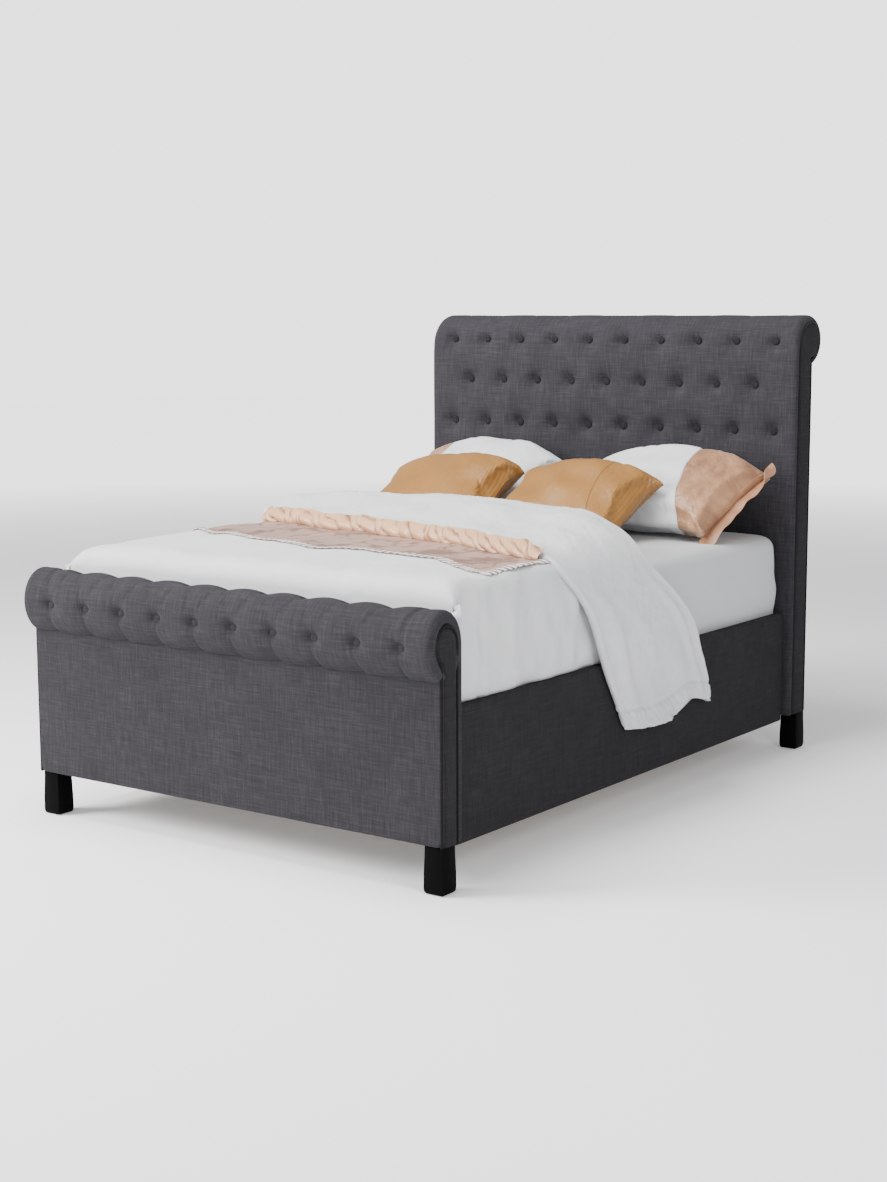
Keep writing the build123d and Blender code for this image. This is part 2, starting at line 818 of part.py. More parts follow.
def leaning_half_sizes(deep, thick):
    """Half of the room along Y and Z that a leaning oval takes."""
    lean = radians(pillow_lean)
    half_y = hypot(deep / 2 * cos(lean), thick / 2 * sin(lean))
    half_z = hypot(deep / 2 * sin(lean), thick / 2 * cos(lean))
    return half_y, half_z


def build_leaning(label, span, centre, deep, thick):
    with BuildPart() as pad:
        with BuildSketch(Plane.YZ.offset(span[0])):
            with Locations(centre):
                Ellipse(deep / 2, thick / 2, rotation=pillow_lean)
        extrude(amount=span[1] - span[0])
    keep(pad, label)


def build_pillows():
    lean = radians(pillow_lean)
    rest = mattress_top + bedding_rest_gap
    half_y, half_z = leaning_half_sizes(pillow_deep, pillow_thick)
    pillow = (head_front - pillow_head_gap - half_y, rest + half_z)

    # the cushion lies on the pillow's slope, slid down until it rests on the mattress
    apart = (pillow_thick + cushion_thick) / 2 + cushion_gap
    cushion_half_y, cushion_half_z = leaning_half_sizes(cushion_deep, cushion_thick)
    slide = (pillow[1] + apart * cos(lean) - rest - cushion_half_z) / sin(lean)
    cushion = (pillow[0] - apart * sin(lean) - slide * cos(lean), rest + cushion_half_z)
    for name in sides:
        build_leaning(f"pillow_{name}", pillow_spans[name], pillow, pillow_deep, pillow_thick)
        build_leaning(f"cushion_{name}", cushion_spans[name], cushion, cushion_deep, cushion_thick)


build_headboard()
build_footboard()
build_feet()
build_rails()
build_brackets()
build_centre_rail()
build_slats()
build_mattress()
build_duvet()
build_pillows()
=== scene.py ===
from contextlib import contextmanager
import bpy
import numpy as np
from math import atan2, cos, pi, radians, sin, sqrt
from mathutils import Matrix, Vector


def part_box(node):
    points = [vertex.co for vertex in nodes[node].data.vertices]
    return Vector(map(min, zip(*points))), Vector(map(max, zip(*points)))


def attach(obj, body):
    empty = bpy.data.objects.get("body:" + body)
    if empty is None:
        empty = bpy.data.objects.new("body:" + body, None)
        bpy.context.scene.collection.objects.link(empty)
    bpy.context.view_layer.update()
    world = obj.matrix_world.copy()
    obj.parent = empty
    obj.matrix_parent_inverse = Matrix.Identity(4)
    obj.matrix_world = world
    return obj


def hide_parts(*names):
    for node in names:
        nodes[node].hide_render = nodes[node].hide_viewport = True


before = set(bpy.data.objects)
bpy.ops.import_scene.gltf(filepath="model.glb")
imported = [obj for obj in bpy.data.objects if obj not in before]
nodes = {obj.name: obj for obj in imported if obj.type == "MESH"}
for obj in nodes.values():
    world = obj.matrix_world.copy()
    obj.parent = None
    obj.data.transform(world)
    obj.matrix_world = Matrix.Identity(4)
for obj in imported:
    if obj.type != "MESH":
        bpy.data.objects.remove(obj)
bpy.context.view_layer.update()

sides = {"left": -1, "right": 1}
print("frame loaded:", len(nodes), "pieces")


# camera first: standing off the foot end's right corner, looking slightly down
camera = {
    "place": (3.585, -4.997, 1.510),
    "towards": (-0.5795, 0.8020, -0.1448),
    "over": (-0.0821, 0.1193, 0.9895),
    "lens": 59.12,
}


def linked(name, data):
    made = bpy.data.objects.new(name, data)
    bpy.context.scene.collection.objects.link(made)
    return made


def addCamera():
    data = bpy.data.cameras.new("camera")
    data.lens = camera["lens"]
    data.sensor_width = 36
    eye = linked("camera", data)
    forward = Vector(camera["towards"]).normalized()
    up = Vector(camera["over"])
    up = (up - forward * up.dot(forward)).normalized()
    turn = Matrix((forward.cross(up), up, -forward)).transposed().to_4x4()
    eye.matrix_world = Matrix.Translation(camera["place"]) @ turn
    bpy.context.scene.camera = eye


addCamera()


# shader maths
class Wire:
    # a value between shader nodes; sums and products of it add their own Math nodes
    def __init__(self, tree, socket):
        self.tree = tree
        self.socket = socket

    def maths(self, operation, *values):
        node = self.tree.nodes.new("ShaderNodeMath")
        node.operation = operation
        for place, value in enumerate(values):
            if isinstance(value, Wire):
                self.tree.links.new(value.socket, node.inputs[place])
            else:
                node.inputs[place].default_value = value
        return Wire(self.tree, node.outputs[0])

    def __add__(self, other):
        return self.maths("ADD", self, other)

    __radd__ = __add__

    def __sub__(self, other):
        return self.maths("SUBTRACT", self, other)

    def __rsub__(self, other):
        return self.maths("SUBTRACT", other, self)

    def __mul__(self, other):
        return self.maths("MULTIPLY", self, other)

    __rmul__ = __mul__

    def __gt__(self, other):
        return self.maths("GREATER_THAN", self, other)

    def __abs__(self):
        return self.maths("ABSOLUTE", self)

    def wave(self):
        return self.maths("SINE", self)

    def clamped(self):
        return self.maths("MINIMUM", self.maths("MAXIMUM", self, 0.0), 1.0)


class Finish:
    # one material, with its Principled shader ready
    def __init__(self, name, roughness=0.6, **uniform):
        self.material = bpy.data.materials.new(name)
        self.material.use_nodes = True
        self.tree = self.material.node_tree
        self.shader = self.tree.nodes["Principled BSDF"]
        self.shader.inputs["Roughness"].default_value = roughness
        for socket, value in uniform.items():
            self.shader.inputs[socket.replace("_", " ")].default_value = value

    def node(self, kind, settings=None, inputs=None, output=0):
        made = self.tree.nodes.new("ShaderNode" + kind)
        for key, value in (settings or {}).items():
            if key == "stops":
                ramp = made.color_ramp
                while len(ramp.elements) < len(value):
                    ramp.elements.new(0.5)
                for element, (place, colour) in zip(ramp.elements, value):
                    element.position = place
                    element.color = (*colour, 1)
            else:
                setattr(made, key, value)
        for key, value in (inputs or {}).items():
            if isinstance(value, Wire):
                self.tree.links.new(value.socket, made.inputs[key])
            else:
                made.inputs[key].default_value = value
        return Wire(self.tree, made.outputs[output])

    def feed(self, socket, wire):
        self.tree.links.new(wire.socket, self.shader.inputs[socket])

    def split(self, vector):
        made = self.tree.nodes.new("ShaderNodeSeparateXYZ")
        self.tree.links.new(vector.socket, made.inputs[0])
        return [Wire(self.tree, output) for output in made.outputs]

    def vector(self, x, y, z=0.0):
        return self.node("CombineXYZ", inputs={"X": x, "Y": y, "Z": z})

    def onPiece(self):
        # where a point lies on its piece, in metres
        return self.node("TexCoord", output=3)

    def noise(self, vector, scale, detail=2.0, roughness=0.5):
        inputs = {"Vector": vector, "Scale": scale, "Detail": detail, "Roughness": roughness}
        return self.node("TexNoise", inputs=inputs)

    def mix(self, factor, first, second):
        made = self.tree.nodes.new("ShaderNodeMix")
        made.data_type = "RGBA"
        for key, value in ((0, factor), (6, first), (7, second)):
            if isinstance(value, Wire):
                self.tree.links.new(value.socket, made.inputs[key])
            elif key:
                made.inputs[key].default_value = (*value, 1)
            else:
                made.inputs[key].default_value = value
        return Wire(self.tree, made.outputs[2])

    def bump(self, height, distance, strength=1.0):
        self.feed("Normal", self.node("Bump", inputs={"Height": height, "Distance": distance, "Strength": strength}))


def clothPlaces(finish, mapped):
    # two coordinates in metres along the cloth: from its own map, or from the faces of a flat-sided piece
    if mapped:
        return finish.split(finish.node("UVMap", {"uv_map": "cloth"}))[:2]
    x, y, z = finish.split(finish.onPiece())
    flat = abs(finish.split(finish.node("NewGeometry", output=1))[2]) > 0.6
    return (x + y) * (1 - flat) + x * flat, z * (1 - flat) + y * flat


linenLook = {
    "dark": (0.0140, 0.0130, 0.0156),
    "mid": (0.0300, 0.0282, 0.0330),
    "light": (0.0600, 0.0570, 0.0645),
    "threadPitch": 0.0016,
    # threads one way and the other, then slubs: scale along the cloth, scale up it, which layer, detail, roughness
    "streaks": [(420, 16, 0, 3.0, 0.6), (14, 420, 7, 3.0, 0.6), (150, 9, 3, 2.0, 0.5), (8, 150, 5, 2.0, 0.5)],
    "cloud": 5.0,
    "weights": (1.45, 0.70, 0.25),
    "stops": (0.05, 0.5, 0.95),
}


def linen(name, mapped=True, shade=1.0):
    # slubby linen-look weave: streaks along both threads over a plain basket weave
    look = linenLook
    finish = Finish(name, roughness=0.95, Sheen_Weight=0.02, Sheen_Roughness=0.5, Specular_IOR_Level=0.12)
    along, up = clothPlaces(finish, mapped)
    warp, weft, slubUp, slubAcross = (
        finish.noise(finish.vector(along * wide, up * high, layer), 1.0, detail, roughness)
        for wide, high, layer, detail, roughness in look["streaks"]
    )
    cloud = finish.noise(finish.vector(along, up, 1.0), look["cloud"], 3.0, 0.6)
    threads = (warp + weft) * 0.5
    slubs = (slubUp + slubAcross) * 0.5
    ofThreads, ofSlubs, ofCloud = look["weights"]
    tone = (threads - 0.5) * ofThreads + (slubs - 0.5) * ofSlubs + (cloud - 0.5) * ofCloud + 0.5
    colours = [tuple(channel * shade for channel in look[key]) for key in ("dark", "mid", "light")]
    stops = list(zip(look["stops"], colours))
    finish.feed("Base Color", finish.node("ValToRGB", {"stops": stops}, {"Fac": tone.clamped()}))
    turns = 2 * pi / look["threadPitch"]
    basket = (along * turns).wave() * (up * turns).wave()
    finish.bump(basket * 0.25 + threads * 1.2 + slubs * 0.8, 0.0011, 0.8)
    return finish.material


# two noises, each with its stretch along x, y and z, its detail and its roughness; how much of each goes into the
# tone and into the roughness, with a constant; how deep the first one is embossed, and how strongly
hardLooks = {
    "paint": {"grain": ((60, 60, 4), 4.0, 0.6), "patch": ((14, 14, 14), 3.0, 0.5), "tone": (1, 0, 0),
              "shine": (0.18, 0.16, 0.30), "bump": (0.0004, 0.5)},
    "timberAcross": {"grain": ((3, 55, 55), 5.0, 0.65), "patch": ((0.6, 11, 11), 2.0, 0.5), "tone": (0.7, 0.6, -0.15),
                     "shine": (0.25, 0, 0.48), "bump": (0.0005, 0.6)},
    "timberAlong": {"grain": ((55, 3, 55), 5.0, 0.65), "patch": ((11, 0.6, 11), 2.0, 0.5), "tone": (0.7, 0.6, -0.15),
                    "shine": (0.25, 0, 0.48), "bump": (0.0005, 0.6)},
    "plastic": {"grain": ((900, 900, 900), 2.0, 0.5), "patch": ((30, 30, 30), 2.0, 0.5), "tone": (0, 1, 0),
                "shine": (0.20, 0, 0.36), "bump": (0.0002, 0.5)},
    "steel": {"grain": ((40, 40, 900), 2.0, 0.5), "patch": ((22, 22, 22), 3.0, 0.5), "tone": (0, 1, 0),
              "shine": (0.20, 0.15, 0.20), "bump": (0.0001, 0.4)},
}


def hard(name, kind, dark, light, smoother=0.0, **uniform):
    look = hardLooks[kind]
    finish = Finish(name, **uniform)
    x, y, z = finish.split(finish.onPiece())
    grain, patch = (
        finish.noise(finish.vector(x * wide, y * deep, z * high), 1.0, detail, roughness)
        for (wide, deep, high), detail, roughness in (look["grain"], look["patch"])
    )
    tone, shine = (grain * first + patch * second + rest for first, second, rest in (look["tone"], look["shine"]))
    finish.feed("Base Color", finish.mix(tone.clamped(), dark, light))
    finish.feed("Roughness", shine - smoother)
    finish.bump(grain, *look["bump"])
    return finish.material


def cotton(name, colour, shade, mapped=True, crease=1.0):
    # plain percale: a fine weave, faint creases with painted shade in their hollows, and the slightest unevenness of
    # tone
    finish = Finish(name, roughness=0.82, Sheen_Weight=0.18, Sheen_Roughness=0.4)
    along, up = clothPlaces(finish, mapped)
    place = finish.vector(along, up)
    broad = finish.noise(place, 3.0, 3.0, 0.55)
    crumple = finish.noise(finish.vector(along + broad * 0.12, up + broad * 0.12), 15.0, 4.0, 0.6)
    turns = 2 * pi / 0.0009
    weave = (along * turns).wave() * (up * turns).wave()
    # the broad noise is random tone; the crumple part darkens the colour where the bump dips: painted shade in the
    # creases
    tone = (broad * 0.6 + crumple * 0.4 + 0.05).clamped()
    finish.feed("Base Color", finish.mix(tone, shade, colour))
    finish.bump(crumple * crease + weave * 0.02, 0.0085, 0.70)
    return finish.material


linenCloth = linen("linen")
# a slightly darker copy of the same linen for the footboard's front and inner boards: painted shade
linenShadedBoard = linen("linenShadedBoard", mapped=False, shade=0.92)
# a darker copy of the same linen for the side rails, end caps and posts: painted shade on the faces turned from the
# light
linenShadedSide = linen("linenShadedSide", mapped=False, shade=0.56)
# a much darker copy of the linen for the piping cords: painted shade of the gaps they sit in
linenShadedPiping = linen("linenShadedPiping", mapped=False, shade=0.28)
# copies of the linen for the buttons: the headboard's much darker, painted shade in their deep hollows; the roll's
# nearly as light as the cloth, as lit buttons
linenShadedButton = linen("linenShadedButton", mapped=False, shade=0.50)
linenLitRollButton = linen("linenLitRollButton", mapped=False, shade=0.90)
whiteCotton = cotton("whiteCotton", (0.72, 0.73, 0.745), (0.54, 0.555, 0.575))
# the mattress's cotton, greyer than the duvet's: painted shade where its sides lie under the duvet
sheetCottonShaded = cotton("sheetCottonShaded", (0.52, 0.53, 0.54), (0.46, 0.47, 0.485), crease=0.35)


def satin(name, dark, light, ribs=0.0, ribPitch=0.006, roughness=0.36, pattern=None, seam=None, gather=None):
    # smooth satin weave: long fine streaks of shine painted into the colour, with ribs where the cloth is ribbed,
    # painted lighter on their crests
    finish = Finish(name, roughness=roughness, Sheen_Weight=0.10, Sheen_Roughness=0.35)
    along, up = clothPlaces(finish, True)
    broad = finish.noise(finish.vector(along, up), 6.0, 3.0, 0.6)
    streak = finish.noise(finish.vector(along * 260.0, up * 9.0), 1.0, 3.0, 0.6)
    crush = finish.noise(finish.vector(along + broad * 0.05, up), 28.0, 4.0, 0.6)
    rib = (along * (2 * pi / ribPitch) + streak * 3.0).wave() * 0.5 + 0.5
    # broad is random tone; streak adds painted sheen, and rib a painted highlight on each rib's crest
    tone = (broad * 0.55 + streak * 0.40 + rib * ribs * 0.35 - 0.05).clamped()
    colour = finish.mix(tone, dark, light)
    height = crush * 1.1 + streak * 0.12 + rib * ribs * 0.4
    if pattern:
        # sprays of flowers stitched in a darker thread
        place = finish.vector(along + broad * 0.02, up + crush * 0.02)
        flower = finish.node("TexVoronoi", {"feature": "SMOOTH_F1"}, {"Vector": place, "Scale": pattern["flowers"]})
        petals = finish.noise(place, pattern["petals"], 3.0, 0.7)
        vine = abs(finish.noise(place, pattern["vines"], 2.0, 0.5) - 0.5)
        marks = ((petals - flower * 0.9 - 0.22) * 9.0).clamped()
        stems = ((0.030 - vine) * 40.0).clamped()
        sewn = marks.maths("MAXIMUM", marks, stems)
        colour = finish.mix(sewn * 0.85, colour, pattern["thread"])
        height = height + sewn * 0.5
    if gather:
        # shadowed creases where gathered cloth dips in
        valley = (1.0 - abs((along * (pi / gather["pitch"])).wave()) * gather["sharp"]).clamped()
        uneven = ((finish.noise(finish.vector(along, up * 4.0), 11.0, 1.0) - 0.36) * 4.0).clamped()
        colour = finish.mix(valley * uneven, colour, gather["shadow"])
    if seam:
        # a fine stitched curve down the cloth
        line = (along - seam["place"]) + up * seam["tilt"] - up * up * seam["bend"]
        stitch = (1.0 - abs(line) * 330.0).clamped()
        colour = finish.mix(stitch * 0.55, colour, dark)
        height = height - stitch * 0.9
    finish.feed("Base Color", colour)
    finish.feed("Roughness", streak * 0.18 + (roughness - 0.08))
    finish.bump(height, 0.0035, 0.6)
    return finish.material


def pairedCloth(name, seam, tilt, bend, side):
    # a white pillow case with a satin end; the join is a curve across the case
    finish = Finish(name, roughness=0.6, Sheen_Weight=0.25, Sheen_Roughness=0.4)
    along, up = clothPlaces(finish, True)
    line = (along - seam) * side + up * tilt - up * up * bend
    end = (line * 900.0).clamped()
    broad = finish.noise(finish.vector(along, up), 5.0, 3.0, 0.6)
    streak = finish.noise(finish.vector(along * 12.0, up * 240.0), 1.0, 3.0, 0.6)
    crush = finish.noise(finish.vector(along + broad * 0.08, up + broad * 0.08), 17.0, 4.0, 0.6)
    # the white darkens where the crumples dip: painted shade; the satin end's tone is painted sheen over random tone
    white = finish.mix(crush, (0.50, 0.515, 0.54), (0.66, 0.67, 0.69))
    sheen = ((broad - 0.5) * 1.6 + (crush - 0.5) * 1.2 + streak * 0.3 + 0.35).clamped()
    shine = finish.mix(sheen, (0.14, 0.060, 0.028), (0.45, 0.24, 0.13))
    finish.feed("Base Color", finish.mix(end, white, shine))
    finish.feed("Roughness", 0.82 - end * 0.46)
    stitch = (1.0 - abs(line) * 260.0).clamped()
    finish.bump(crush + crush * end * 0.8 - stitch * 0.8 + streak * 0.05, 0.0060, 0.7)
    return finish.material


def laceWork(name):
    # open stitched work: pale thread with darker ground showing between
    finish = Finish(name, roughness=0.6)
    along, across = clothPlaces(finish, True)
    dash = (along * (2 * pi / 0.026)).wave()
    weave = finish.noise(finish.vector(along, across * 0.02), 150.0, 2.0)
    ground = ((dash * 0.5 + weave - 0.55) * 5.0).clamped()
    finish.feed("Base Color", finish.mix(ground, (0.66, 0.63, 0.61), (0.20, 0.115, 0.080)))
    finish.bump(1.0 - ground + weave * 0.3, 0.0012, 0.7)
    return finish.material


bandSatin = satin("bandSatin", (0.27, 0.160, 0.125), (0.42, 0.275, 0.225), roughness=0.40,
                  pattern={"flowers": 9.0, "petals": 26.0, "vines": 5.0, "thread": (0.130, 0.052, 0.034)})
ruffleSatin = satin("ruffleSatin", (0.47, 0.245, 0.125), (0.74, 0.47, 0.30), roughness=0.34,
                    gather={"pitch": 0.05, "sharp": 1.9, "shadow": (0.15, 0.055, 0.022)})
flangeSatin = satin("flangeSatin", (0.27, 0.115, 0.055), (0.48, 0.26, 0.15), roughness=0.36)
gold = {"dark": (0.155, 0.060, 0.011), "light": (0.35, 0.168, 0.034), "ribs": 0.55, "ribPitch": 0.009,
        "roughness": 0.38}
goldSatin = satin("goldSatin", **gold)
goldSeamed = satin("goldSeamed", seam={"place": 0.105, "tilt": 0.12, "bend": 1.3}, **gold)
pillowRightCloth = pairedCloth("pillowRightCloth", 0.085, 0.15, 1.2, 1)
pillowLeftCloth = pairedCloth("pillowLeftCloth", -0.17, 0.10, 0.8, -1)
laceCloth = laceWork("laceCloth")
footPaint = hard("footPaint", "paint", (0.0010, 0.0010, 0.0012), (0.0045, 0.0043, 0.0048), Specular_IOR_Level=0.02)

# what each plain CAD piece that shows from below or behind is finished with, by a word in its name; the first match
# holds; the posts and the footboard's core are wrapped in the cloth, because their edges show between the panels
pine = {"dark": (0.42, 0.27, 0.14), "light": (0.66, 0.49, 0.30)}
beech = {"dark": (0.50, 0.33, 0.18), "light": (0.74, 0.57, 0.37)}
pineAcross = hard("pineAcross", "timberAcross", **pine)
pineAlong = hard("pineAlong", "timberAlong", **pine)
beechSlat = hard("beechSlat", "timberAcross", smoother=0.15, **beech)
holderPlastic = hard("holderPlastic", "plastic", (0.018, 0.018, 0.019), (0.0324, 0.0324, 0.0342))
zincSteel = hard("zincSteel", "steel", (0.55, 0.56, 0.57), (0.396, 0.4032, 0.4104), Metallic=1.0)
blackSteel = hard("blackSteel", "steel", (0.03, 0.03, 0.032), (0.0216, 0.0216, 0.02304), Metallic=0.4)
plainFinish = [
    (zincSteel, ("bracket", "hanger", "bolts", "screws")),
    (linenShadedSide, ("headboard_post",)),
    (linenShadedBoard, ("footboard_core", "back_panel", "inner_panel")),
    (pineAcross, ("front_board", "cross_rail", "roll_former")),
    (pineAlong, ("rail_core", "slat_ledger", "centre_rail")),
    (beechSlat, ("slats_",)),
    (holderPlastic, ("slat_holders",)),
    (blackSteel, ("centre_leg",)),
]
for name, node in nodes.items():
    for finish in [finish for finish, words in plainFinish if any(word in name for word in words)][:1]:
        for place in node.material_slots:
            place.material = finish
print("finishes made")


# ways of making pieces
def nothingSelected():
    if bpy.context.object and bpy.context.object.mode != "OBJECT":
        bpy.ops.object.mode_set(mode="OBJECT")
    bpy.ops.object.select_all(action="DESELECT")


def onlySelect(piece):
    nothingSelected()
    piece.select_set(True)
    bpy.context.view_layer.objects.active = piece


def settle(piece):
    # leave the object at the origin, unturned and unscaled, with its place in its mesh
    onlySelect(piece)
    bpy.ops.object.transform_apply(location=True, rotation=True, scale=True)
    return piece


def applied(piece, kind, **settings):
    onlySelect(piece)
    change = piece.modifiers.new(kind.lower(), kind)
    for key, value in settings.items():
        setattr(change, key, value)
    bpy.ops.object.modifier_apply(modifier=change.name)
    return piece


def smooth(piece, angle=None):
    onlySelect(piece)
    if angle is None:
        bpy.ops.object.shade_smooth()
    else:
        bpy.ops.object.shade_smooth_by_angle(angle=radians(angle))
    return piece


@contextmanager
def editing(piece, kind=None, chosen="SELECT"):
    onlySelect(piece)
    bpy.ops.object.mode_set(mode="EDIT")
    if kind:
        bpy.ops.mesh.select_mode(type=kind)
    if chosen:
        bpy.ops.mesh.select_all(action=chosen)
    yield
    bpy.ops.object.mode_set(mode="OBJECT")


def normalsOut(piece):
    with editing(piece):
        bpy.ops.mesh.normals_make_consistent(inside=False)
    return piece


def finished(piece, name, body, slot, finish, *replaced):
    piece.name = name
    piece.data.materials.clear()
    piece.data.materials.append(finish)
    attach(piece, body)
    if replaced:
        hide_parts(*replaced)
    return piece


def joined(pieces):
    nothingSelected()
    for piece in pieces:
        piece.select_set(True)
    bpy.context.view_layer.objects.active = pieces[0]
    if len(pieces) > 1:
        bpy.ops.object.join()
    return bpy.context.view_layer.objects.active


def mapCloth(piece, flat):
    # each vertex's place along and up the cloth, in metres, as the piece's only map
    corners = np.zeros(len(piece.data.loops), np.int32)
    piece.data.loops.foreach_get("vertex_index", corners)
    while piece.data.uv_layers:
        piece.data.uv_layers.remove(piece.data.uv_layers[0])
    layer = piece.data.uv_layers.new(name="cloth")
    layer.data.foreach_set("uv", flat.reshape(-1, 2)[corners].reshape(-1).astype(np.float32))


def clothGrid(points, cloth):
    # a sheet of quads through points[row, column], mapped in metres by cloth[row, column]
    rows, columns = points.shape[:2]
    nothingSelected()
    bpy.ops.mesh.primitive_grid_add(x_subdivisions=columns - 1, y_subdivisions=rows - 1, size=1, location=(0, 0, 0))
    piece = bpy.context.object
    piece.data.vertices.foreach_set("co", points.reshape(-1).astype(np.float32))
    mapCloth(piece, cloth)
    piece.data.update()
    return piece


def thickCloth(points, cloth, thickness, offset=-1.0, angle=None):
    piece = clothGrid(points, cloth)
    applied(piece, "SOLIDIFY", thickness=thickness, offset=offset, use_even_offset=False)
    return smooth(normalsOut(piece), angle)


def stacked(*parts):
    return np.stack(np.broadcast_arrays(*parts), axis=-1)


def lengthsAlong(path):
    steps = np.linalg.norm(np.diff(path, axis=0), axis=1)
    return np.concatenate([[0], np.cumsum(steps)])


def evenly(path, step):
    # the same line with points a step apart
    along = lengthsAlong(path)
    count = max(2, int(round(along[-1] / step)) + 1)
    wanted = np.linspace(0, along[-1], count)
    return np.stack([np.interp(wanted, along, path[:, axis]) for axis in range(path.shape[1])], axis=1)


def rise(value, start, end):
    # smooth step from 0 at start to 1 at end
    share = np.clip((value - start) / (end - start), 0, 1)
    return share * share * (3 - 2 * share)


def outwardNormals(path):
    # in the plane of a side outline that runs anticlockwise seen from +X
    tangent = np.gradient(path, axis=0)
    normal = np.stack([-tangent[:, 1], tangent[:, 0]], axis=1)
    return normal / np.maximum(np.linalg.norm(normal, axis=1, keepdims=True), 1e-9)


def arc(centre, radii, start, end, count):
    angles = np.radians(np.linspace(start, end, count))
    return np.stack([centre[0] + radii[0] * np.cos(angles), centre[1] + radii[1] * np.sin(angles)], axis=1)


# outlines of the two panels from the side, in Y and Z, as the frame has them
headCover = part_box("headboard_cover")
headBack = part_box("headboard_back_panel")
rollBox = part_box("footboard_roll_cover")
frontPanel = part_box("footboard_front_panel")
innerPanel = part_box("footboard_inner_panel")
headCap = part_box("headboard_end_cap_right")

headShape = {
    "front": headCover[0].y,
    "rear": headBack[1].y,
    "bottom": headCover[0].z,
    "top": headCover[1].z,
    "rollRadius": 0.085,
    "sole": 0.001,
    "browRise": 0.100,
}
footShape = {
    "front": frontPanel[0].y,
    "back": innerPanel[0].y,
    "bottom": frontPanel[0].z,
    "top": rollBox[1].z,
    "scrollRadius": 0.0535,
    "sole": 0.001,
    "scrollDrop": 0.037,
    "throat": 0.038,
}


def headOutline(inset=0.0, closed=True):
    # from the bottom of the front, up, over the roll and down the back
    shape = headShape
    front, rear = shape["front"] + inset, shape["rear"] - inset
    radius = shape["rollRadius"] - inset
    rollY = headCover[1].y - shape["rollRadius"]
    rollZ = shape["top"] - shape["rollRadius"]
    browZ = shape["top"] - shape["browRise"]
    bottom = shape["bottom"] + min(inset, shape["sole"])
    tail = -np.degrees(atan2(sqrt(radius**2 - (rear - rollY) ** 2), rear - rollY))
    path = [
        [(front, bottom), (front, browZ)],
        arc((rollY, browZ), (rollY - front, shape["top"] - inset - browZ), 180, 90, 15)[1:],
        arc((rollY, rollZ), (radius, radius), 90, tail, 25)[1:],
    ]
    if closed:
        path.append([(rear, bottom)])
    return np.concatenate([np.array(stretch, float) for stretch in path])


def footEndOutline(inset=0.0):
    # from the bottom of the front, up the throat, over the scroll and down the back
    shape = footShape
    radius, throat = shape["scrollRadius"] - inset, shape["throat"] + inset
    front, back = shape["front"] + inset, shape["back"] - inset
    bottom = shape["bottom"] + min(inset, shape["sole"])
    scroll = shape["scrollRadius"]
    centre = np.array([shape["back"] - scroll, shape["top"] - shape["scrollDrop"] - scroll])
    hollow = np.array([front - throat, 0.0])
    hollow[1] = centre[1] - sqrt((radius + throat) ** 2 - (centre[0] - hollow[0]) ** 2)
    lean = np.degrees(atan2(hollow[1] - centre[1], hollow[0] - centre[0]))
    return np.concatenate([
        [(front, bottom)],
        arc(hollow, (throat, throat), 0, 180 + lean, 8),
        arc(centre, (radius, radius), 360 + lean, 0, 26)[1:],
        [(back, bottom)],
    ])


# upholstered covers, drawn in at their buttons
def drawnIn(across, along, buttons, hollow):
    # how deep the cloth is pulled at each place by the nearest button
    depth = np.zeros_like(across)
    for place in buttons:
        away = np.hypot(across - place[0], along - place[1])
        depth = np.maximum(depth, hollow["depth"] / (1 + (away / hollow["reach"]) ** hollow["fall"]))
    return depth


def pleats(across, along, lines, fold):
    # folds from point to point: steep on one side, soft on the other
    depth = np.zeros_like(across)
    for start, end, strength in lines:
        start, end = np.array(start), np.array(end)
        run = end - start
        length = np.hypot(*run)
        share = np.clip(((across - start[0]) * run[0] + (along - start[1]) * run[1]) / length**2, 0, 1)
        offX = across - (start[0] + share * run[0])
        offY = along - (start[1] + share * run[1])
        side = (offX * run[1] - offY * run[0]) / length
        away = np.hypot(offX, offY)
        width = np.where(side > 0, fold["soft"], fold["steep"])
        depth = np.maximum(depth, strength * fold["depth"] * np.exp(-((away / width) ** 1.3)))
    return depth


def buttonRow(staggered, span, columns=10):
    pitch = 2 * span / (columns - 1)
    count = columns - 1 if staggered else columns
    return [(index - (count - 1) / 2) * pitch for index in range(count)]


buttonRadius = 0.014
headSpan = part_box("headboard_buttons")[1].x - buttonRadius
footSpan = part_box("footboard_buttons")[1].x - buttonRadius


def rolledCover(outline, look, halfWidth, depthAt, name, replaced):
    # a cover wrapped over an outline, rounded over at both ends; depthAt gives how far each place is drawn in
    step, edge = look["step"], look["edge"]
    path = evenly(outline, step[1])
    along = lengthsAlong(path)
    normal = outwardNormals(path)
    radius = (edge["radius"] + (edge["topRadius"] - edge["radius"]) * edge["topShare"](along))[:, None]
    flat = halfWidth - radius
    straight = np.linspace(-1, 1, int(round(2 * halfWidth / step[0])) + 1)[None, :]
    turn = np.radians(np.linspace(0, edge["turn"], edge["steps"]))[1:]
    over = flat + radius * np.sin(turn)
    drop = radius * (1 - np.cos(turn))
    spread = flat + radius * turn
    gridX = np.concatenate([-over[:, ::-1], flat * straight, over], axis=1)
    inset = np.concatenate([drop[:, ::-1], 0 * flat * straight, drop], axis=1)
    sewn = np.concatenate([-spread[:, ::-1], flat * straight, spread], axis=1)
    gridV = np.broadcast_to(along[:, None], gridX.shape)
    share = np.clip(1 - inset / radius, 0, 1)
    depth = depthAt(np.clip(gridX, -flat, flat), gridV) * share + inset
    gridY, gridZ = (path[:, axis, None] - normal[:, axis, None] * depth for axis in (0, 1))
    piece = thickCloth(stacked(gridX, gridY, gridZ), stacked(sewn, gridV), look["thickness"])
    finished(piece, name, "frame", "linen", linenCloth, replaced)


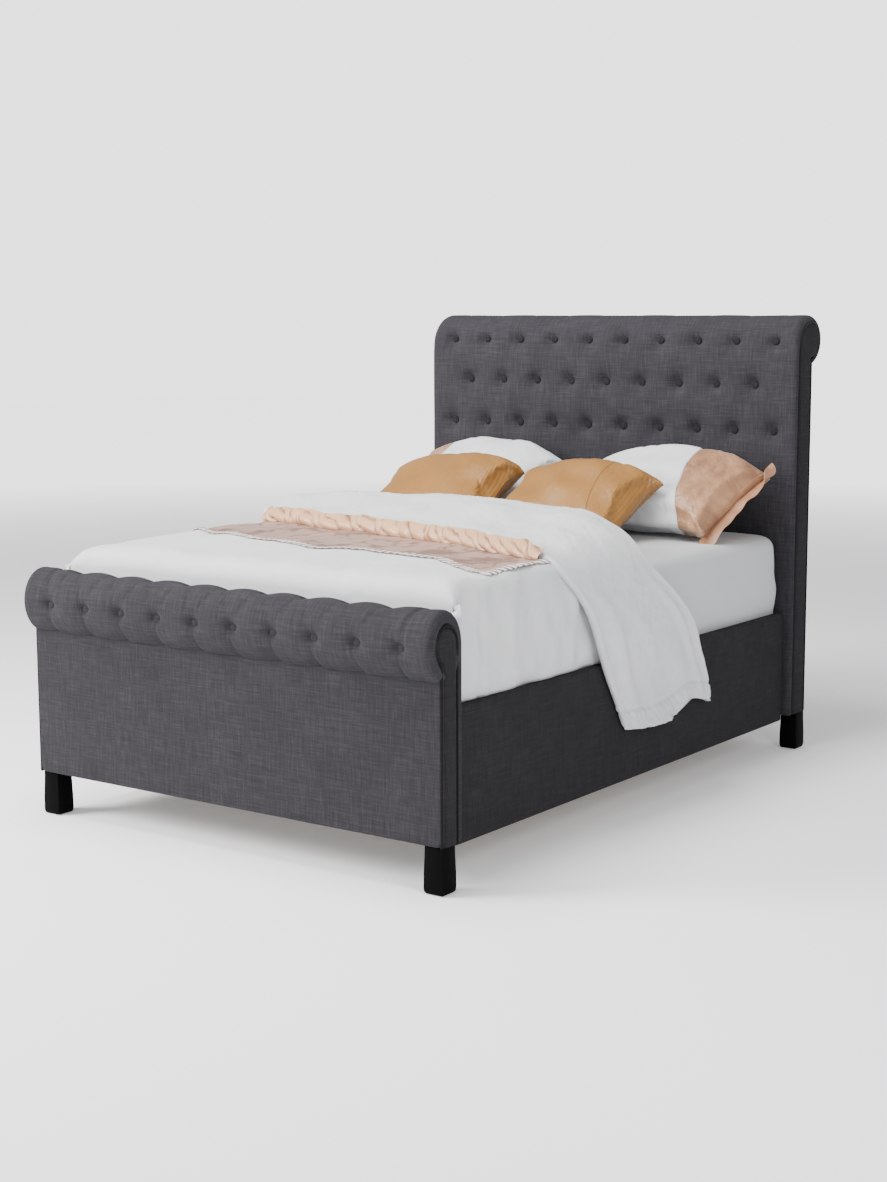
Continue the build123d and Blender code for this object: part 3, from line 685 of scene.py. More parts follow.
def pleatsBetween(upper, lower, strength):
    # one from each button to its neighbours in the next row
    near = 0.09
    return [(a, b, strength) for a in upper for b in lower if abs(a[0] - b[0]) < near]


headLook = {
    "step": (0.0075, 0.0075),
    "edge": {"radius": 0.016, "topRadius": 0.026, "turn": 92, "steps": 9,
             "topShare": lambda along: rise(along, 1.20, 1.32) * (1 - rise(along, 1.62, 1.78))},
    "hollow": {"depth": 0.031, "reach": 0.0255, "fall": 2.7},
    "fold": {"depth": 0.0024, "steep": 0.005, "soft": 0.026},
    "rows": (0.086, 0.233, 0.388),  # below the top
    "pleatUp": 0.16,
    "pleatDown": 0.07,
    "puff": 0.00088,
    "thickness": 0.010,
}
coverPast = 0.010  # how far each cover goes past the CAD cover's ends


def makeHeadboardCover():
    look = headLook
    rows = [
        [(x, headShape["top"] - drop - headShape["bottom"]) for x in buttonRow(index == 1, headSpan)]
        for index, drop in enumerate(look["rows"])
    ]
    buttons = [place for row in rows for place in row]
    lines = pleatsBetween(rows[0], rows[1], 1.0) + pleatsBetween(rows[1], rows[2], 1.0)
    lines += [((x, v), (x, v + look["pleatUp"]), 0.8) for x, v in rows[0]]
    lines += [((x, v), (x, v - look["pleatDown"]), 0.55) for x, v in rows[2]]

    def depthAt(x, v):
        fade = np.clip((v - 0.70) / 0.10, 0, 1)
        fold = pleats(x, v, lines, look["fold"]) * fade
        puff = look["puff"] * np.sin(x * 23.0 + 1.3) * np.sin(v * 19.0) * fade
        return np.maximum(drawnIn(x, v, buttons, look["hollow"]), fold) + puff + 0.001

    outline = headOutline(0.0, closed=False)
    rolledCover(outline, look, headCover[1].x + coverPast, depthAt, "headboardCover", "headboard_cover")


rollLook = {
    "step": (0.0062, 0.0055),
    "edge": {"radius": 0.021, "topRadius": 0.021, "turn": 150, "steps": 12, "topShare": np.zeros_like},
    "hollow": {"depth": 0.0265, "reach": 0.0195, "fall": 2.6},
    "fold": {"depth": 0.0085, "steep": 0.0045, "soft": 0.028},
    "frontDrop": 0.100,
    "topBack": 0.014,
    "halfHeight": 0.096,
    "turns": (262, -62),
    "thickness": 0.009,
}


def rollOutline():
    # round the roll from the crease on the front face to the crease on the inner face
    high = rollLook["halfHeight"]
    centre = ((rollBox[0].y + rollBox[1].y) / 2, rollBox[1].z - high)
    return arc(centre, ((rollBox[1].y - rollBox[0].y) / 2, high), *rollLook["turns"], 90), centre


def makeRollCover():
    look = rollLook
    path, centre = rollOutline()
    even = evenly(path, look["step"][1])
    along = lengthsAlong(even)
    front = np.argmin(np.abs(even[:, 1] - (rollBox[1].z - look["frontDrop"])) + (even[:, 0] > centre[0]) * 9)
    crown = np.argmin(np.abs(even[:, 0] - (centre[0] + look["topBack"])) + (even[:, 1] < centre[1]) * 9)
    frontRow = [(x, along[front]) for x in buttonRow(False, footSpan)]
    topRow = [(x, along[crown]) for x in buttonRow(True, footSpan)]
    lines = pleatsBetween(frontRow, topRow, 0.42)
    lines += [((x, v), (x + 0.004, 0.0), 1.0) for x, v in frontRow]
    lines += [((x, v), (x, along[-1]), 0.8) for x, v in topRow]
    for end, (x, v) in ((-1, frontRow[0]), (1, frontRow[-1])):
        lines.append(((x, v), (x + end * 0.030, along[crown]), 0.7))

    def depthAt(x, v):
        return np.maximum(drawnIn(x, v, frontRow + topRow, look["hollow"]), pleats(x, v, lines, look["fold"]))

    name, replaced = "footboardRollCover", "footboard_roll_cover"
    rolledCover(path, look, rollBox[1].x + coverPast, depthAt, name, replaced)
    return [x for x, v in frontRow], [x for x, v in topRow]


makeHeadboardCover()
frontButtonX, topButtonX = makeRollCover()
print("buttoned covers made")


# covered buttons: one is made, then copied to every place
buttonRings = ((0.0012, 0.0016), (0.0030, 0.0014), (0.0040, 0.0007), (0.0034, 0.0003))  # how far in, how much higher


def makeButton():
    # domed face with a rolled rim, lying in XY and facing +Z
    nothingSelected()
    bpy.ops.mesh.primitive_cylinder_add(vertices=24, radius=buttonRadius, depth=0.005, location=(0, 0, 0))
    piece = bpy.context.object
    with editing(piece, "FACE", "DESELECT"):
        pass
    for face in piece.data.polygons:
        face.select = face.normal.z > 0.9
    with editing(piece, chosen=None):
        for inset, higher in buttonRings:
            bpy.ops.mesh.inset(thickness=inset)
            bpy.ops.transform.translate(value=(0, 0, higher))
    applied(piece, "BEVEL", width=0.0008, segments=2, limit_method="ANGLE")
    return piece


def placedButtons(places, name, finish, replaced):
    # places are (x, y, z, direction that the button faces)
    master = makeButton()
    copies = []
    for x, y, z, facing in places:
        copy = master.copy()
        copy.data = master.data.copy()
        bpy.context.scene.collection.objects.link(copy)
        turn = Vector(facing).to_track_quat("Z", "Y").to_matrix().to_4x4()
        copy.data.transform(Matrix.Translation((x, y, z)) @ turn)
        copies.append(copy)
    bpy.data.objects.remove(master)
    piece = joined(copies)
    smooth(piece, 50)
    return finished(piece, name, "frame", "linen", finish, replaced)


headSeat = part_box("headboard_buttons")
headButtons = [
    (x, headSeat[0].y + 0.0055, headShape["top"] - drop, (0, -1, 0))
    for index, drop in enumerate(headLook["rows"]) for x in buttonRow(index == 1, headSpan)
]
placedButtons(headButtons, "headboardButtons", linenShadedButton, "headboard_buttons")

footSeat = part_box("footboard_buttons")
footButtons = [(x, footSeat[0].y + 0.0045, rollBox[1].z - rollLook["frontDrop"], (0, -1, 0)) for x in frontButtonX]
topY = (rollBox[0].y + rollBox[1].y) / 2 + rollLook["topBack"]
footButtons += [(x, topY, footSeat[1].z - 0.0045, (0, 0.15, 1)) for x in topButtonX]
placedButtons(footButtons, "footboardButtons", linenLitRollButton, "footboard_buttons")
print("buttons placed")


# end panels and their piping
def paddedEnd(outlineAt, side, base, profile, name, replaced):
    # rings of the outline, each further in and further out, closed on the last ring
    rings = [outlineAt(inset) for inset, outward in profile]
    count, last = len(rings[0]), len(rings) - 1
    points = [(side * (base + outward), y, z) for ring, (inset, outward) in zip(rings, profile) for y, z in ring]
    faces = [
        (level * count + index, level * count + (index + 1) % count,
         (level + 1) * count + (index + 1) % count, (level + 1) * count + index)
        for level in range(last) for index in range(count)
    ]
    faces += [tuple(range(count)), tuple(last * count + index for index in range(count))]
    mesh = bpy.data.meshes.new(name)
    mesh.from_pydata(points, [], faces)
    piece = linked(name, mesh)
    smooth(normalsOut(piece), 40)
    return finished(piece, name, "frame", "linen", linenShadedSide, replaced)


def pipingCord(outline, side, x, radius, name, replaced):
    # a round cord along an outline, as a curve turned into a mesh
    path = evenly(outline, 0.006)
    curve = bpy.data.curves.new(name, "CURVE")
    curve.dimensions = "3D"
    curve.bevel_depth = radius
    curve.bevel_resolution = 3
    curve.use_fill_caps = True
    spline = curve.splines.new("POLY")
    spline.points.add(len(path) - 1)
    for point, (y, z) in zip(spline.points, path):
        point.co = (side * x, y, z, 1)
    onlySelect(linked(name, curve))
    bpy.ops.object.convert(target="MESH")
    piece = bpy.context.object
    smooth(normalsOut(piece))
    return finished(piece, name, "frame", "linen", linenShadedPiping, replaced)


endLook = {
    "cap": [(0.008, 0.0), (0.009, 0.005), (0.012, 0.0085), (0.017, 0.0105), (0.023, 0.0115)],
    "headInset": 0.018,
    "pipingRadius": 0.0045,
    "pipingIn": 0.004,
    "pipingOut": 0.0055,
}
boards = (("headboard", headOutline, endLook["headInset"]), ("footboard", footEndOutline, 0.0))
for name, side in sides.items():
    base = headCap[0].x
    for board, outline, inset in boards:
        profile = [(step + inset, outward) for step, outward in endLook["cap"]]
        paddedEnd(outline, side, base, profile, f"{board}End_{name}", f"{board}_end_cap_{name}")
    for board, outline, inset in boards:
        pipingCord(outline(inset + endLook["pipingIn"]), side, base + endLook["pipingOut"], endLook["pipingRadius"],
                   f"{board}Piping_{name}", f"{board}_piping_{name}")
print("ends and piping made")


# flat upholstered boards: footboard front and side rails
def softBoard(low, high, edge, puff, name, replaced, cells, finish, corner=0.0):
    # a board with rounded edges, whose big faces swell a little
    nothingSelected()
    middle = [(a + b) / 2 for a, b in zip(low, high)]
    size = [b - a for a, b in zip(low, high)]
    bpy.ops.mesh.primitive_cube_add(size=1, location=middle)
    piece = bpy.context.object
    piece.scale = size
    settle(piece)
    if corner:
        # the two lower corners of the board are rounded first
        for line in piece.data.edges:
            ends = [piece.data.vertices[index].co for index in line.vertices]
            line.select = all(end.z < middle[2] for end in ends) and abs(ends[0].y - ends[1].y) > 0.5 * size[1]
        for face in piece.data.polygons:
            face.select = False
        with editing(piece, "EDGE", None):
            bpy.ops.mesh.bevel(offset=corner, segments=7)
    applied(piece, "BEVEL", width=edge, segments=4, limit_method="ANGLE", angle_limit=radians(50))
    long = max(range(3), key=lambda axis: size[axis])
    with editing(piece):
        for axis, count in ((long, cells), (2, 9)):
            for index in range(1, count):
                cut = [0, 0, 0]
                cut[axis] = low[axis] + size[axis] * index / count
                bpy.ops.mesh.select_all(action="SELECT")
                bpy.ops.mesh.bisect(plane_co=cut, plane_no=[float(other == axis) for other in range(3)])
    thin = min(range(3), key=lambda axis: size[axis])
    across = [axis for axis in range(3) if axis != thin]
    for vertex in piece.data.vertices:
        share = [(vertex.co[axis] - low[axis]) / size[axis] for axis in across]
        inside = min(share) > 0 and max(share) < 1
        swell = puff * sin(pi * share[0]) ** 0.5 * sin(pi * share[1]) ** 0.5 if inside else 0
        vertex.co[thin] += swell if vertex.co[thin] > middle[thin] else -swell
    smooth(normalsOut(piece), 40)
    return finished(piece, name, "frame", "linen", finish, replaced)


panelTop = rollOutline()[0][0][1] + 0.018
panelLow = (frontPanel[0].x - 0.008, frontPanel[0].y - 0.001, frontPanel[0].z)
panelHigh = (frontPanel[1].x + 0.008, frontPanel[1].y, panelTop)
softBoard(panelLow, panelHigh, 0.008, 0.0015, "footboardFront", "footboard_front_panel", 12, linenShadedBoard, corner=0.022)
for name in sides:
    low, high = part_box(f"side_rail_cover_{name}")
    board = f"sideRailCover_{name}", f"side_rail_cover_{name}"
    softBoard(tuple(low), tuple(high), 0.007, 0.0012, *board, 14, linenShadedSide)
print("boards covered")


# feet: square, drawn up from the floor through four sections, edges eased
footLook = {
    "sections": [(0.004, 0.0305), (0.016, 0.0315), (0.055, 0.0312), (0.100, 0.0295), (0.130, 0.0290)],
    "sole": 0.0265,
    "edge": 0.0035,
}


def makeFoot(node):
    low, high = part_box(node)
    nothingSelected()
    middle = ((low.x + high.x) / 2, (low.y + high.y) / 2, 0)
    bpy.ops.mesh.primitive_plane_add(size=2 * footLook["sole"], location=middle)
    piece = bpy.context.object
    settle(piece)
    height, half = 0.0, footLook["sole"]
    with editing(piece, "FACE"):
        for nextHeight, nextHalf in footLook["sections"]:
            bpy.ops.mesh.extrude_region_move(TRANSFORM_OT_translate={"value": (0, 0, nextHeight - height)})
            bpy.ops.transform.resize(value=(nextHalf / half, nextHalf / half, 1))
            height, half = nextHeight, nextHalf
    normalsOut(piece)
    applied(piece, "BEVEL", width=footLook["edge"], segments=3, limit_method="ANGLE", angle_limit=radians(40))
    smooth(piece, 35)
    return finished(piece, node.replace("_", "") + "Turned", "frame", "foot_finish", footPaint, node)


for node in ("foot_front_left", "foot_front_right", "foot_back_left", "foot_back_right"):
    makeFoot(node)
print("feet made")


# bedding
def roundedBlock(low, high, radius, lowerRadius, cuts):
    # a box of small squares with rounded edges, tighter in its lower half
    nothingSelected()
    bpy.ops.mesh.primitive_cube_add(size=2, location=(0, 0, 0))
    piece = bpy.context.object
    with editing(piece):
        bpy.ops.mesh.subdivide(number_cuts=cuts)
    middle = (np.array(low) + np.array(high)) / 2
    half = (np.array(high) - np.array(low)) / 2
    raw = places(piece)
    # crowd the squares towards the edges, then push the corners onto a ball
    box = np.sign(raw) * (1 - (1 - np.abs(raw)) ** 1.35) * half
    radius = lowerRadius + (radius - lowerRadius) * rise(box[:, 2:], -0.06, 0.02)
    core = np.clip(box, -(half - radius), half - radius)
    away = box - core
    length = np.maximum(np.linalg.norm(away, axis=1, keepdims=True), 1e-9)
    put(piece, middle + core + away / length * radius)
    return piece


def places(piece):
    co = np.zeros(len(piece.data.vertices) * 3, np.float32)
    piece.data.vertices.foreach_get("co", co)
    return co.reshape(-1, 3).astype(float)


def put(piece, points):
    piece.data.vertices.foreach_set("co", np.asarray(points).reshape(-1).astype(np.float32))
    piece.data.update()


def rumple(x, y, seed, count, spans, lean=None):
    # gentle unevenness: waves of many lengths and directions, from -1 to 1
    draw = np.random.default_rng(seed)
    total = np.zeros(np.broadcast(x, y).shape)
    for index in range(count):
        span = spans[0] * (spans[1] / spans[0]) ** draw.random()
        angle = draw.random() * pi if lean is None else lean + draw.normal() * 0.35
        phase = draw.random() * 2 * pi
        bend = 0.35 * np.sin((x * sin(angle) - y * cos(angle)) * 2 * pi / (span * 2.3) + phase * 3)
        total += np.sin((x * cos(angle) + y * sin(angle)) * 2 * pi / span + phase + bend)
    return total / sqrt(count)


def creases(x, y, seed, count, spans, sharp=3.0, lean=None):
    # narrow folds where broad waves cross nought
    wave = rumple(x, y, seed, count, spans, lean)
    return np.exp(-((wave * sharp) ** 2))


mattressLow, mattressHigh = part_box("mattress")
mattressLook = {
    "radius": 0.042,
    "lowerRadius": 0.008,
    "wide": 0.0125,
    "swell": 0.012,
    "crown": 0.005,
    "railTop": 0.49,
    "uncovered": (0.10, 0.35),
    "cuts": 63,
}


def makeMattress():
    look = mattressLook
    piece = roundedBlock(mattressLow, mattressHigh, look["radius"], look["lowerRadius"], look["cuts"])
    at = places(piece)
    x, y, z = at.T
    height = (z - look["railTop"]) / (mattressHigh.z - look["railTop"])
    belly = np.where(height > 0, np.sin(pi * np.clip(height, 0, 1)) ** 0.8, 0) * rise(y, *look["uncovered"])
    side = np.sign(x) * rise(np.abs(x), mattressHigh.x - 0.05, mattressHigh.x - 0.01)
    at[:, 0] += side * (look["wide"] * rise(z, mattressLow.z, mattressLow.z + 0.010) + belly * look["swell"])
    top = rise(z, mattressHigh.z - 0.03, mattressHigh.z)
    at[:, 2] += top * look["crown"] * np.cos(pi * x / 1.5) * np.cos(pi * y / 2.4)
    pulls = rumple(x, y + z, 21, 9, (0.10, 0.5)) * 0.0012
    at[:, 0] += side * pulls
    at[:, 2] += top * pulls
    put(piece, at)
    smooth(piece)
    finished(piece, "mattressSheeted", "mattress", "mattress_ticking", sheetCottonShaded, "mattress")


makeMattress()
print("mattress made")


# duvet: a cover over the mattress, its head end turned back and hanging over the right rail
duvetLook = {
    "top": 0.806,
    "side": 0.707,
    "corner": 0.048,
    "hem": 0.4835,
    "foot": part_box("duvet")[0].y + 0.002,
    "rear": 0.185,
    "skirtEnd": (0.00, 0.12),
    "rightRear": -0.055,
    "leftEnd": (0.06, 0.18),
    "cornerCrease": -0.812,
    "step": 0.009,
    "across": 2.05,
    "thick": 0.020,
    "footDrops": (0.075, 0.05, 0.03, 0.014),
}


def duvetWrinkle(x, y):
    soft = rumple(x, y, 5, 12, (0.16, 0.62)) * 0.0030
    fine = rumple(x, y, 8, 10, (0.05, 0.16)) * 0.0006
    pull = creases(x + 0.25 * y, y, 13, 3, (0.45, 0.95), 4.0, lean=0.5) * 0.0035
    return soft + fine - pull


def duvetTop(x, y):
    look = duvetLook
    z = look["top"] + duvetWrinkle(x, y)
    toFoot = np.clip((y - look["foot"]) / 0.075, 0, 1)
    z = z - 0.052 * (1 - np.sqrt(1 - (1 - toFoot) ** 2))
    return z + 0.006 * np.cos(pi * x / 1.42)


def drawnShare(x):
    # how far the rows are drawn towards the foot on the right, where the turned-back end hangs down
    look = duvetLook
    return (look["rear"] - look["rightRear"]) / (look["rear"] - look["foot"]) * rise(x, 0.40, 0.66)


def duvetSkirt(y, reach, corner, ended):
    # one side of the duvet, from its rounded edge down to the top of the rail
    look = duvetLook
    radius = look["corner"]
    gone = float(rise(np.array(y), *ended))
    hem = look["hem"] + (look["top"] - radius - look["hem"] - 0.03) * gone
    side = list(corner)
    for z in np.linspace(look["top"] - radius, hem, 14)[1:]:
        share = (look["top"] - z) / (look["top"] - look["hem"])
        belly = 0.006 * sin(pi * share) - 0.006 * float(rise(np.array(share), 0.86, 0.97))
        side.append((reach + belly * (1 - gone), z))
    return side


def duvetSection(y, count):
    # across the bed at y: up the left side, over the top and down the right; x, z and the length of cloth
    look = duvetLook
    radius = look["corner"]
    wobble = 0.004 * sin(y * 17 + 1) + 0.003 * sin(y * 31 + 2)
    dent = 0.007 * np.exp(-(((y - look["cornerCrease"]) / 0.022) ** 2))
    reach = look["side"] + wobble - dent
    turn = np.radians(np.linspace(90, 0, 10))[1:]
    corner = [(reach - radius + radius * cos(a), look["top"] - radius + radius * sin(a)) for a in turn]
    right, left = (duvetSkirt(y, reach, corner, ended) for ended in (look["skirtEnd"], look["leftEnd"]))
    flatEnd = reach - radius
    flat = [(x, look["top"]) for x in np.linspace(-flatEnd, flatEnd, 40)]
    path = np.array([(-x, z) for x, z in reversed(left)] + flat + right)
    along = lengthsAlong(path)
    wanted = np.linspace(0, along[-1], count)
    x = np.interp(wanted, along, path[:, 0])
    z = np.interp(wanted, along, path[:, 1])
    return x, z, wanted - along[-1] / 2


def makeDuvet():
    look = duvetLook
    rows = int((look["rear"] - look["foot"]) / look["step"]) + 1
    columns = int(look["across"] / look["step"])
    points = []
    cloth = []
    for y in np.linspace(look["foot"], look["rear"], rows):
        x, z, along = duvetSection(y, columns)
        upper = rise(z, look["top"] - look["corner"], look["top"])
        lift = duvetTop(x, np.full(columns, y)) - look["top"]
        free = rise(z, look["hem"], look["hem"] + 0.05)
        sideRumple = rumple(z * 0.6, np.full(columns, y), 31, 10, (0.07, 0.4)) * 0.0035 * free
        drapes = creases(np.full(columns, y), z * 0.35, 37, 2, (0.16, 0.3), 3.0) * 0.006
        x = x + np.sign(x) * (1 - upper) * (sideRumple - drapes * rise(look["top"] - z, 0.05, 0.3) * free)
        pulled = y - (y - look["foot"]) * drawnShare(x)
        points.append(stacked(x, pulled, z + lift * (0.3 * free + 0.7 * upper)))
        cloth.append(stacked(along, y))
    # the foot end goes down behind the roll, following the shape of the first row
    level = duvetSection(look["foot"], columns)[1]
    onTop = rise(level, look["top"] - look["corner"], look["top"])
    first = points[0]
    height = np.minimum(first[:, 2], first[:, 2].max() - 0.001)
    for index, down in reversed(list(enumerate(look["footDrops"]))):
        points.insert(0, stacked(first[:, 0], first[:, 1] + 0.0004 * (4 - index), height - down * onTop))
        cloth.insert(0, cloth[-rows] - np.array([0, down]))
    piece = thickCloth(np.array(points), np.array(cloth), look["thick"])
    finished(piece, "duvetCover", "duvet", "white_cotton", whiteCotton, "duvet")


def throughPoints(table, count):
    # an even line through a table of places, softened twice; any number of values goes with each
    table = np.array(table, float)
    along = lengthsAlong(table[:, :3])
    wanted = np.linspace(0, along[-1], count)
    line = np.stack([np.interp(wanted, along, column) for column in table.T], axis=1)
    kernel = max(3, count // 22) | 1
    reach = kernel // 2
    for turn in range(2):
        before, after = 2 * line[:1] - line[1 : reach + 1][::-1], 2 * line[-1:] - line[-reach - 1 : -1][::-1]
        longer = np.concatenate([before, line, after])
        line = np.stack([np.convolve(column, np.ones(kernel) / kernel, "valid")[:count] for column in longer.T], axis=1)
    return line


# front edge (x, y, z), rear edge (y, z), how high it stands at the front and at the hump, which way is out,
# how deep its rear edge is rolled
foldLook = {
    "columns": 250,
    # how far the hem runs above or below a straight line, by place across it
    "hem": ((0, 0.29, 0.48, 0.60, 0.69, 0.80, 0.92, 1),
            (0.004, -0.019, -0.022, -0.008, 0.020, 0.012, -0.004, -0.024)),
    "seamUp": 0.078,
    "seamDepth": 0.007,
    # on the part that hangs: place across it, how proud, how wide, how far it drifts on the way up
    "folds": [(0.03, 0.006, 0.010, 0.0), (0.15, 0.017, 0.034, 0.06), (0.43, 0.010, 0.060, -0.05),
              (0.66, 0.012, 0.050, 0.04), (0.85, 0.016, 0.020, -0.03), (0.95, 0.012, 0.012, 0.0)],
    "stations": [
        (-0.706, -0.100, 0.806, 0.190, 0.800, 0.040, 0.076, 0, 0.046),
        (-0.400, -0.190, 0.808, 0.228, 0.800, 0.045, 0.092, 0, 0.052),
        (0.000, -0.262, 0.808, 0.238, 0.800, 0.046, 0.100, 0, 0.052),
        (0.270, -0.330, 0.808, 0.228, 0.800, 0.044, 0.091, 0, 0.052),
        (0.450, -0.395, 0.808, 0.190, 0.798, 0.042, 0.078, 0, 0.050),
        (0.590, -0.450, 0.807, 0.090, 0.794, 0.036, 0.064, 4, 0.042),
        (0.672, -0.478, 0.798, -0.005, 0.780, 0.028, 0.048, 32, 0.028),
        (0.706, -0.462, 0.768, 0.000, 0.748, 0.022, 0.034, 72, 0.016),
        (0.716, -0.425, 0.730, 0.070, 0.710, 0.019, 0.028, 86, 0.010),
        (0.722, -0.375, 0.670, 0.165, 0.650, 0.018, 0.025, 90, 0.008),
        (0.7265, -0.300, 0.545, 0.268, 0.545, 0.017, 0.023, 90, 0.006),
        (0.7265, -0.228, 0.410, 0.335, 0.420, 0.016, 0.021, 90, 0.005),
        (0.7265, -0.180, 0.335, 0.362, 0.350, 0.015, 0.019, 90, 0.004),
        (0.7265, -0.140, 0.272, 0.378, 0.296, 0.013, 0.016, 90, 0.003),
    ],
}


foldLine = throughPoints(foldLook["stations"], foldLook["columns"])


def makeFold():
    # the turned-back end: a quilted pad swept across the bed and down outside the right rail
    look = foldLook
    count = len(foldLine)
    along = lengthsAlong(foldLine[:, :3])
    front, middle, rear = np.linspace(0, 0.06, 6), np.linspace(0.06, 0.90, 66), np.linspace(0.90, 1.0, 12)
    shares = np.concatenate([front[:-1], middle[:-1], rear])
    under = shares[::-4][1:-1]
    points, cloth = [], []
    for index, s in enumerate(along):
        x, y, z, rearY, rearZ, frontRise, rearRise, lean, roll = foldLine[index]
        out = np.array([sin(radians(lean)), 0, cos(radians(lean))])
        hang = rise(lean, 20, 80)
        start = np.array([x, y, z])
        run = np.array([x, rearY, rearZ]) - start
        span = np.linalg.norm(run)
        away = shares * span
        rest = (1 - shares) * span
        height = frontRise + (rearRise - frontRise) * rise(shares, 0.05, 0.80)
        height = height * np.sqrt(1 - np.clip(1 - away / (frontRise * 0.75), 0, 1) ** 2 * 0.92)
        ending = np.clip(1 - rest / max(rearRise * 0.85, 0.01), 0, 1)
        height = (height + roll) * np.sqrt(1 - ending**2 * 0.999) - roll
        here = np.full(len(shares), s)
        soft = rumple(here, away, 41, 12, (0.11, 0.45)) * (0.0056 - 0.001 * hang)
        fine = rumple(here, away, 43, 10, (0.03, 0.10)) * (0.0007 + 0.0006 * hang)
        folds = 0.0
        for place, depth, width, drift in look["folds"]:
            centre = place + drift * (1 - rise(s, 1.35, 2.1))
            folds = folds + depth * np.exp(-(((shares - centre) * span / width) ** 2))
        folds = folds * hang * rise(s, 1.42, 1.85) * (0.95 + 0.25 * sin(s * 9))
        edge = np.clip(np.minimum(away, rest) / 0.03, 0, 1)
        ribs = 0.0009 * np.sin(s * 2 * pi / 0.017 + 0.8 * np.sin(away * 30)) * (1 - hang)
        surface = height + (soft + fine + ribs) * edge + folds * np.clip(rest / 0.02, 0, 1)
        # the seam above the hem, and a crumpled border below it
        past = look["seamUp"] - (along[-1] - s)
        crumple = creases(away, here * 0.5, 47, 5, (0.03, 0.09), 2.2)
        surface += look["seamDepth"] * (rise(past, 0, 0.01) * crumple - np.exp(-((past / 0.005) ** 2)))
        # the front and rear edges are not ruler straight
        frontWander = 0.005 * sin(s * 8.3 + 0.5) + 0.004 * sin(s * 19.0 + 2.0)
        rearWander = 0.006 * sin(s * 11.0) + 0.004 * sin(s * 23.0)
        low = hang * rise(index, count - 40, count - 1)
        at = start + run * shares[:, None] + out * surface[:, None]
        at[:, 1] += frontWander * (1 - shares) + rearWander * shares
        at[:, 2] += low * np.interp(shares, *look["hem"])
        below = start + run * under[:, None] - out * (roll * rise(under, 0.75, 1.0) - 0.001)[:, None]
        below[:, 2] += low * np.interp(under, *look["hem"])
        points.append(np.concatenate([at, below, at[:1]]))
        cloth.append(stacked(s, np.concatenate([away, span + under * span, away[:1]])))
    piece = clothGrid(np.array(points), np.array(cloth))
    closeEnds(piece)
    smooth(normalsOut(piece))
    finished(piece, "duvetTurnedBack", "duvet", "white_cotton", whiteCotton, "duvet")


def closeEnds(piece):
    with editing(piece, "VERT"):
        bpy.ops.mesh.remove_doubles(threshold=0.00005)
        bpy.ops.mesh.select_all(action="DESELECT")
        bpy.ops.mesh.select_non_manifold(extend=False, use_wire=False, use_boundary=True, use_multi_face=False,
                                         use_non_contiguous=False, use_verts=False)
        bpy.ops.mesh.fill_holes(sides=0)


makeDuvet()
makeFold()
print("duvet made")


# satin band, its lace edge and the ruffle at the turned-back end
bandLook = {
    "front": [(-0.700, -0.425), (-0.40, -0.535), (-0.10, -0.612), (0.26, -0.616), (0.457, -0.640), (0.60, -0.725),
              (0.690, -0.795)],
    "left": -0.692,
    "right": 0.668,
    "tuckedIn": 0.03,
    "deep": 0.36,
    "proud": 0.0022,
    "thick": 0.0012,
}
laceLook = {
    "width": 0.028,
    "proud": 0.0036,
    "scallop": 0.0035,
    "scallopPitch": 0.024,
    "wave": 0.0010,
    "wavePitch": 0.012,
}


def bandFront(x):
    table = np.array(bandLook["front"])
    soft = [np.interp(x + shift, table[:, 0], table[:, 1]) for shift in (-0.05, -0.025, 0, 0.025, 0.05)]
    return sum(soft) / len(soft) + 0.004 * np.sin(x * 21.0) + 0.0025 * np.sin(x * 47.0 + 1.0)


def foldFront(x):
    # where the front of the turned-back end runs on the bed's top
    top = foldLine[: np.argmax(foldLine[:, 7] > 40)]
    return np.interp(x, top[:, 0], top[:, 1])


def onDuvet(x, y, proud):
    # a place on the duvet's top that follows it round the right and left corners
    look = duvetLook
    reach = look["side"] - look["corner"]
    over = np.clip((np.abs(x) - reach) / look["corner"], 0, 1)
    fall = look["corner"] * (1 - np.sqrt(np.maximum(1 - over**2, 0)))
    before = look["foot"] + (y - look["foot"]) / (1 - drawnShare(x))
    return duvetTop(x, before) + proud - fall * 0.9


def makeBand():
    look = bandLook
    x = np.linspace(look["left"], look["right"], 220)
    front, back = bandFront(x), foldFront(x) + look["tuckedIn"]
    y = front + (back - front) * np.linspace(0, 1, 46)[:, None]
    points = stacked(x, y, onDuvet(x, y, look["proud"]))
    piece = thickCloth(points, stacked(x, y), look["thick"], angle=60)
    finished(piece, "satinBand", "duvet", "peach_satin", bandSatin)


def makeLace():
    # a scalloped edging sewn along the front and right edges of the band
    look = laceLook
    right = bandLook["right"] - 0.002
    xs = np.linspace(bandLook["left"], right, 560)
    front = stacked(xs, bandFront(xs))
    ys = np.linspace(front[-1, 1], float(foldFront(right)) + 0.01, 130)[1:]
    path = np.concatenate([front, stacked(right, ys)])
    along = lengthsAlong(path)
    tangent = np.gradient(path, axis=0)
    tangent /= np.linalg.norm(tangent, axis=1, keepdims=True)
    scallop = look["scallop"] * np.abs(np.sin(along * pi / look["scallopPitch"])) + 0.0015 * np.sin(along * 71.0)
    share = np.linspace(0, 1, 7)[:, None]
    spread = -look["width"] * 0.55 + (look["width"] + scallop) * share
    x = path[:, 0] + tangent[:, 1] * spread
    y = path[:, 1] - tangent[:, 0] * spread
    wave = look["wave"] * np.sin(along * 2 * pi / look["wavePitch"]) * share
    piece = thickCloth(stacked(x, y, onDuvet(x, y, look["proud"] + wave)), stacked(along, share), 0.0012, angle=60)
    finished(piece, "laceEdge", "duvet", "lace", laceCloth)


ruffleLook = {
    "across": (-0.675, 0.652),
    "pitch": 0.052,
    "high": 0.046,
    "gather": 0.021,
    "slant": 8.0,
    "fullness": 1.35,
    "flatHeight": 0.052,
    "thick": 0.0014,
}


